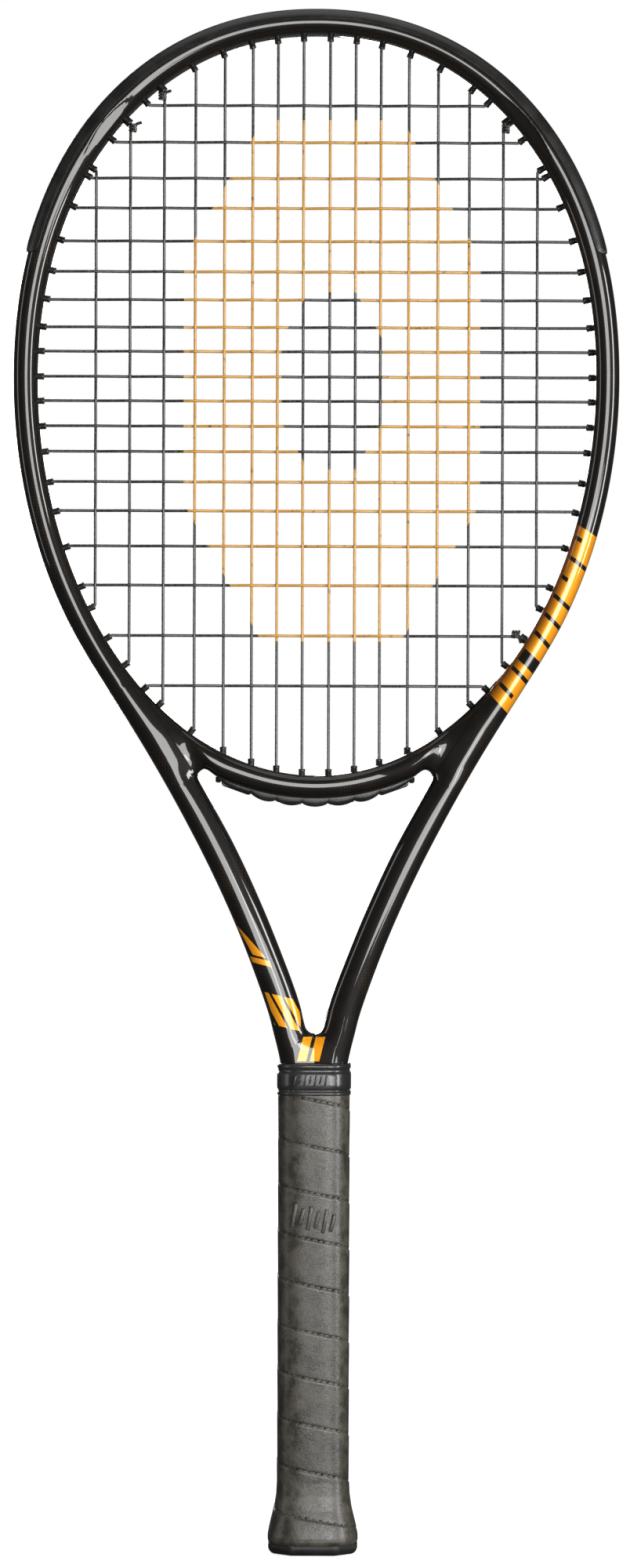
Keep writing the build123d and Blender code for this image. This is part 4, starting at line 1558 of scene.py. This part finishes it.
@dataclass
class BridgeStrip:
    """Scalloped strip under the bridge, one hump between each pair of mains."""

    form: FrameForm
    pattern: StringPattern
    span: float = 43.6
    sunk: float = 0.25
    half_depth: float = 3.4
    valley: float = 1.9
    hump: float = 1.75
    profile: tuple[tuple[float, float], ...] = (
        (0.0, 1.0), (0.45, 1.0), (0.75, 0.93), (0.92, 0.72), (1.0, 0.40), (0.72, 0.34))
    nub: tuple[tuple[float, float], ...] = ((-0.3, 1.3), (1.4, 1.35), (2.1, 1.1), (2.4, 0.5))

    def _drop(self, x: Points) -> Points:
        """Thickness of the strip below the bridge."""
        mains = np.array(self.pattern.mains[:self.pattern.bridge_mains])
        stops = np.concatenate([-mains[::-1], mains])
        span = np.clip(np.searchsorted(stops, x) - 1, 0, len(stops) - 2)
        share = np.clip((x - stops[span]) / (stops[span + 1] - stops[span]), 0, 1)
        swell = np.sin(np.pi * share) ** 0.55
        taper = 1 - 0.35 * ease(np.abs(x), 20.0, 41.0)
        return (self.valley + self.hump * swell) * taper

    def build(self, palette: Palette) -> bpy.types.Object:
        """Builds the piece.

        Args:
            palette: the finishes.

        Returns:
            The object.
        """
        x = np.linspace(-self.span, self.span, 260)
        top = self.form.underside(x) + self.sunk
        drop = self._drop(x) + self.sunk
        loop = []
        for share, y in [*self.profile, *((s, -y) for s, y in self.profile[::-1])]:
            loop.append(np.stack([x, np.full(len(x), -y * self.half_depth), top - drop * share],
                                 axis=1))
        skin = Skin()
        skin.grid(np.stack(loop, axis=1), closed=True, caps=(True, True))
        for sign in (-1, 1):
            self._nub(skin, sign)
        for port in self.pattern.bridge_ports():
            Barrel().add_to(skin, port)
        return skin.piece("throat_strip", Slot.GROMMET, palette,
                          "bridge_grommet_strip")

    def _nub(self, skin: Skin, sign: int) -> None:
        """Adds the small round end stop of the strip.

        Args:
            skin: the mesh that it is added to.
            sign: 1 on the right, -1 on the left.
        """
        x = sign * (self.span - 0.6)
        z = float(self.form.underside(np.array([x]))[0])
        rows = []
        for down, radius in self.nub:
            turn = np.arange(12) * math.pi / 6
            rows.append(np.stack([x + radius * np.cos(turn), 1.6 * radius * np.sin(turn),
                                  np.full(12, z - down)], axis=1))
        skin.grid(np.stack(rows), closed=True, caps=(True, True))


# ------------------------------------------------------------------ handle
def raised_bar(skin: Skin, centre: tuple[float, float], size: tuple[float, float], lean: float,
               skin_y: float, proud: float, slope: float = 0.0) -> None:
    """Adds a low slanted bar with bevelled sides to a front face.

    Args:
        skin: the mesh that it is added to.
        centre: x and z of its middle.
        size: width and height.
        lean: how far its top leans to the right.
        skin_y: y of the face that it stands on.
        proud: how far it stands out.
        slope: fall of its ends to the right.
    """
    rows = []
    for grow, out in ((0.0, -0.6), (0.0, 0.0), (-0.22, proud), (-0.5, proud * 1.15)):
        half_width, half_height = size[0] / 2 + grow, size[1] / 2 + grow
        ring = []
        for a, b in ((-1, -1), (1, -1), (1, 1), (-1, 1)):
            x = centre[0] + a * half_width + b * lean / 2
            z = centre[1] + b * half_height - a * half_width * slope
            ring.append((x, skin_y - out, z))
        rows.append(ring)
    skin.grid(np.asarray(rows), closed=True, caps=(True, True))


@dataclass
class GripWrap:
    """Cushioned strip wound up the handle and over the flare of the cap, open at both ends."""

    pallet: tuple[float, float] = (28.9, 26.4)
    bevel: float = 6.0
    corner: float = 7.0
    base: float = 4.5
    top: float = 208.6
    pitch: float = 20.6
    seam_z: float = 196.3
    around: int = 168
    thick: float = 1.2
    clearance: float = 0.02
    flare_from: float = 1.55
    flare_bevel: float = 0.4
    rounding_passes: int = 50
    seam_depth: float = 0.42
    overlap_lift: float = 0.22
    bars: int = 6
    bars_at: tuple[float, float] = (-8.6, 149.0)
    bar_pitch: float = 3.4
    swell: tuple[tuple[float, float], ...] = (
        (4.5, 4.7), (5.2, 5.35), (6.2, 5.62), (8.0, 5.6), (11.0, 5.1), (14.0, 4.4), (20.0, 2.9),
        (26.0, 1.95), (32.0, 1.6), (60.0, 1.5), (203.0, 1.5), (204.5, 1.2), (208.6, 1.1))

    def _turn(self, share: Points, z: Points) -> Points:
        """Place across the strip, 0 at its lower edge and 1 at its upper.

        Args:
            share: part of the way round, from +x across the back.
            z: height.

        Returns:
            The place.
        """
        return np.mod((z - self.seam_z) / self.pitch - share, 1.0)

    def _ring(self, offset: float) -> Points:
        """Rounded octagon round the handle, standing out from the pallet by an offset."""
        flare = max(0.0, offset - self.flare_from)
        ring = octagon_ring(self.pallet[0] + 2 * offset, self.pallet[1] + 2 * offset,
                            self.bevel + self.flare_bevel * flare, self.corner, self.around)
        return softened(ring, self.rounding_passes)

    def build(self, palette: Palette) -> bpy.types.Object:
        """Builds the piece.

        Args:
            palette: the finishes.

        Returns:
            The object.
        """
        heights = np.concatenate([np.linspace(self.base, 9.0, 12)[:-1],
                                  np.arange(9.0, self.top, 0.55), [self.top]])
        places, offsets = zip(*self.swell)
        share = np.arange(self.around) / self.around
        rows, turns = [], []
        for z in heights:
            offset = float(np.interp(z, places, offsets))
            ring = self._ring(offset)
            way = ring / np.linalg.norm(ring, axis=1, keepdims=True)
            turn = self._turn(share, np.full(self.around, z))
            gap = np.minimum(turn, 1 - turn) * self.pitch
            lift = -self.seam_depth * np.exp(-(gap / self.seam_depth) ** 2)
            lift += self.overlap_lift * (turn - 0.5) * ease(z, 10.0, 16.0)
            lift *= 1 - 0.8 * ease(z, 203.0, 205.0)
            ring = ring + way * lift[:, None]
            rows.append(np.column_stack([ring, np.full(self.around, z)]))
            turns.append(turn)
        for z, offset in self.swell[::-1]:
            ring = self._ring(max(offset - self.thick, self.clearance))
            rows.append(np.column_stack([ring, np.full(self.around, z)]))
            turns.append(self._turn(share, np.full(self.around, z)))
        rows.append(rows[0])
        turns.append(turns[0])
        skin = Skin()
        skin.grid(np.stack(rows), closed=True, flip=True, turn=np.stack(turns))
        front = -(self.pallet[1] / 2 + 1.5)
        plain = skin.count
        for k in range(self.bars):
            x = self.bars_at[0] + k * self.bar_pitch
            raised_bar(skin, (x, self.bars_at[1] - 0.2 * x), (1.7, 10.5 - 3.0 * (k % 2)),
                       lean=1.8, skin_y=front, proud=0.45, slope=0.2)
        skin.notes["turn"].append(np.full(skin.count - plain, 0.5))
        skin.notes["stamp"] = [np.zeros(plain), np.ones(skin.count - plain)]
        return skin.piece("grip_strip", Slot.GRIP, palette, "grip_wrap", sharp=50.0)


@dataclass
class Collar:
    """Rubber collar over the top of the grip, with a lip at each end."""

    around: int = 120
    bevel: float = 6.4
    corner: float = 4.2
    rounding_passes: int = 14
    bars: int = 7
    bars_at: tuple[float, float] = (-8.6, 210.3)
    bar_pitch: float = 2.3
    front: float = -15.2
    profile: tuple[tuple[float, float, float], ...] = (
        (204.6, 31.0, 28.5), (203.75, 31.6, 29.1), (203.6, 32.3, 29.8), (203.9, 32.75, 30.25),
        (204.7, 32.8, 30.3), (205.1, 32.35, 29.85), (205.5, 31.95, 29.45), (206.0, 31.95, 29.45),
        (206.3, 32.5, 30.0), (206.7, 32.9, 30.4), (208.5, 32.95, 30.45), (211.5, 32.95, 30.45),
        (213.0, 32.9, 30.4), (213.5, 32.5, 30.0), (213.9, 31.9, 29.4), (214.9, 31.75, 29.25),
        (215.3, 32.1, 29.6), (215.7, 32.6, 30.1), (216.5, 32.75, 30.25), (217.2, 32.4, 29.9),
        (217.55, 31.6, 29.1), (217.6, 30.9, 27.6), (217.3, 30.3, 25.0), (216.9, 29.8, 22.0),
        (216.4, 29.2, 19.0))

    def build(self, palette: Palette) -> bpy.types.Object:
        """Builds the piece.

        Args:
            palette: the finishes.

        Returns:
            The object.
        """
        rows = []
        for z, width, depth in self.profile:
            bevel = min(self.bevel, depth * 0.28)
            ring = octagon_ring(width, depth, bevel, self.corner, self.around)
            ring = softened(ring, self.rounding_passes)
            rows.append(np.column_stack([ring, np.full(self.around, z)]))
        skin = Skin()
        skin.grid(np.stack(rows), closed=True, flip=True, caps=(True, True))
        x, z = self.bars_at
        for k in range(self.bars):
            raised_bar(skin, (x + self.bar_pitch * k, z + 0.25 * (k % 2)),
                       (0.95, 4.6 - 1.1 * (k % 2)), lean=0.9, skin_y=self.front, proud=0.24)
        return skin.piece("rubber_collar", Slot.COLLAR, palette, "collar")


# ------------------------------------------------------------------ studio
@dataclass(frozen=True)
class Softbox:
    """A soft light: its name, place in metres, width and height, and power in watts."""

    name: str
    spot: tuple[float, float, float]
    size: tuple[float, float]
    power: float

    def light(self, aim: tuple[float, float, float]) -> None:
        """Adds the light.

        Args:
            aim: the point that it faces.
        """
        lamp = bpy.data.lights.new(self.name, "AREA")
        lamp.shape = "RECTANGLE"
        lamp.size, lamp.size_y = self.size
        lamp.energy = self.power
        made = bpy.data.objects.new(self.name, lamp)
        made.location = self.spot
        way = Vector(aim) - Vector(self.spot)
        made.rotation_euler = way.to_track_quat("-Z", "Y").to_euler()
        bpy.context.scene.collection.objects.link(made)


@dataclass
class Studio:
    """Floor, soft lights and camera."""

    distance: float = 2.6
    eye: float = 0.3416
    shown: float = 0.69784
    roll: float = -0.18
    aim: tuple[float, float, float] = (0.0, 0.0, 0.38)
    floor_reach: float = 30.0
    air_seen: float = 1.0
    air_light: float = 0.05
    boxes: tuple[Softbox, ...] = (
        Softbox("key_light", (0.42, -2.9, 0.52), (1.15, 1.1), 38.0),
        Softbox("left_light", (-2.3, -0.5, 0.6), (0.5, 1.7), 7.0),
        Softbox("right_light", (2.3, -1.3, 0.5), (0.6, 1.5), 46.0),
        Softbox("low_light", (0.60, -1.35, 0.24), (0.60, 0.46), 8.0),
        Softbox("back_light", (-0.6, 2.9, 0.9), (1.2, 1.2), 30.0))

    def build(self) -> None:
        """Builds the studio."""
        self._floor()
        self._sky()
        for box in self.boxes:
            box.light(self.aim)
        self._camera()
        log.info("studio: floor, soft lights and the camera")

    def _floor(self) -> None:
        """Makes the pale floor, which takes shadows but isn't reflected."""
        bench = Bench("studio_paper")
        fibre = bench.noise(bench.vector(*bench.place(1.0)), 3.0, 3.0)
        tone = bench.mixed(fibre, (0.80, 0.80, 0.795), (0.84, 0.84, 0.835))
        paper = bench.principled(Base_Color=tone, Roughness=0.9, Specular_IOR_Level=0.0,
                                 Emission_Color=(1.0, 1.0, 1.0), Emission_Strength=0.78)
        reach = self.floor_reach
        corners = [(-reach, -reach), (reach, -reach), (reach, reach), (-reach, reach)]
        mesh = bpy.data.meshes.new("studio_floor")
        mesh.from_pydata([(x, y, -0.0002) for x, y in corners], [], [(0, 1, 2, 3)])
        mesh.materials.append(paper)
        floor = bpy.data.objects.new("studio_floor", mesh)
        bpy.context.scene.collection.objects.link(floor)
        floor.visible_diffuse = False
        floor.visible_glossy = False

    def _sky(self) -> None:
        """Sets the world, white to look at and only dimly lighting the racket, and the glow."""
        world = bpy.data.worlds.new("studio_air")
        bpy.context.scene.world = world
        world.use_nodes = True
        tree = world.node_tree
        ray = tree.nodes.new("ShaderNodeLightPath")
        level = tree.nodes.new("ShaderNodeMapRange")
        tree.links.new(ray.outputs["Is Camera Ray"], level.inputs[0])
        level.inputs["To Min"].default_value = self.air_light
        level.inputs["To Max"].default_value = self.air_seen
        tree.links.new(level.outputs[0], tree.nodes["Background"].inputs["Strength"])
        tree.nodes["Background"].inputs["Color"].default_value = (1.0, 1.0, 1.0, 1.0)
        sun = bpy.data.lights.new("ceiling_glow", "SUN")
        sun.energy = 0.9
        sun.angle = math.radians(60)
        glow = bpy.data.objects.new("ceiling_glow", sun)
        bpy.context.scene.collection.objects.link(glow)

    def _camera(self) -> None:
        """Adds the camera, straight in front and turned a little to match the racket's tilt."""
        view = bpy.data.cameras.new("front_camera")
        view.sensor_width = 36.0
        view.lens = view.sensor_width * self.distance / self.shown
        view.clip_start = 0.05
        camera = bpy.data.objects.new("front_camera", view)
        camera.location = (0.0, -self.distance, self.eye)
        camera.rotation_euler = (math.radians(90), math.radians(self.roll), 0.0)
        bpy.context.scene.collection.objects.link(camera)
        bpy.context.scene.camera = camera
        bpy.context.scene.view_settings.view_transform = "Standard"


# ------------------------------------------------------------------ the whole racket
def dress(node: str, slot: Slot, palette: Palette) -> None:
    """Gives a CAD node its finish.

    Args:
        node: the node.
        slot: the slot whose finish it takes.
        palette: the finishes.
    """
    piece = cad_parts[node]
    if not piece.material_slots:
        piece.data.materials.append(None)
    for place in piece.material_slots:
        place.material = palette.materials[slot]
    log.info("%s: CAD shape with the finish of %s", node, slot.value)


def main() -> None:
    """Builds the racket and its studio."""
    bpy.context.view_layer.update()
    Studio().build()
    form = FrameForm()
    hairpin = Hairpin(form)
    inner, outer, _, _ = hairpin.rows()
    path = run_lengths((inner + outer) / 2)
    height = (inner[:, 1] + outer[:, 1]) / 2
    start, end = (float(np.interp(-z, -height, path)) for z in PANEL_Z)
    palette = Palette((start, end))
    pattern = StringPattern(form)
    hairpin.build(palette)
    Bridge(form).build(palette)
    BumperGuard(form, pattern).build(palette)
    for half in Half:
        SideStrip(form, pattern, half).build(palette)
    BridgeStrip(form, pattern).build(palette)
    knots = (KnotSpot("hitch_left", "main_knot_left", (0.0, -1.0)),
             KnotSpot("hitch_right", "main_knot_right", (0.0, -1.0)),
             KnotSpot("hitch_first_cross", "cross_start_knot", (0.0, -1.0)),
             KnotSpot("hitch_last_cross", "cross_end_knot", (-1.0, 0.0)))
    for spot in knots:
        TieKnot(spot).build(palette)
    GripWrap().build(palette)
    Collar().build(palette)
    kept = {
        Slot.STRING: ("main_string", "cross_string"),
        Slot.FOAM: ("handle_pallet",),
        Slot.CAP: ("butt_cap", "butt_cap_door"),
        Slot.STEEL: ("butt_cap_staple_front", "butt_cap_staple_back", "grip_tack"),
        Slot.TAPE: ("finishing_tape",),
    }
    for slot, nodes in kept.items():
        for node in nodes:
            dress(node, slot, palette)


if __name__ == "__main__":
    main()
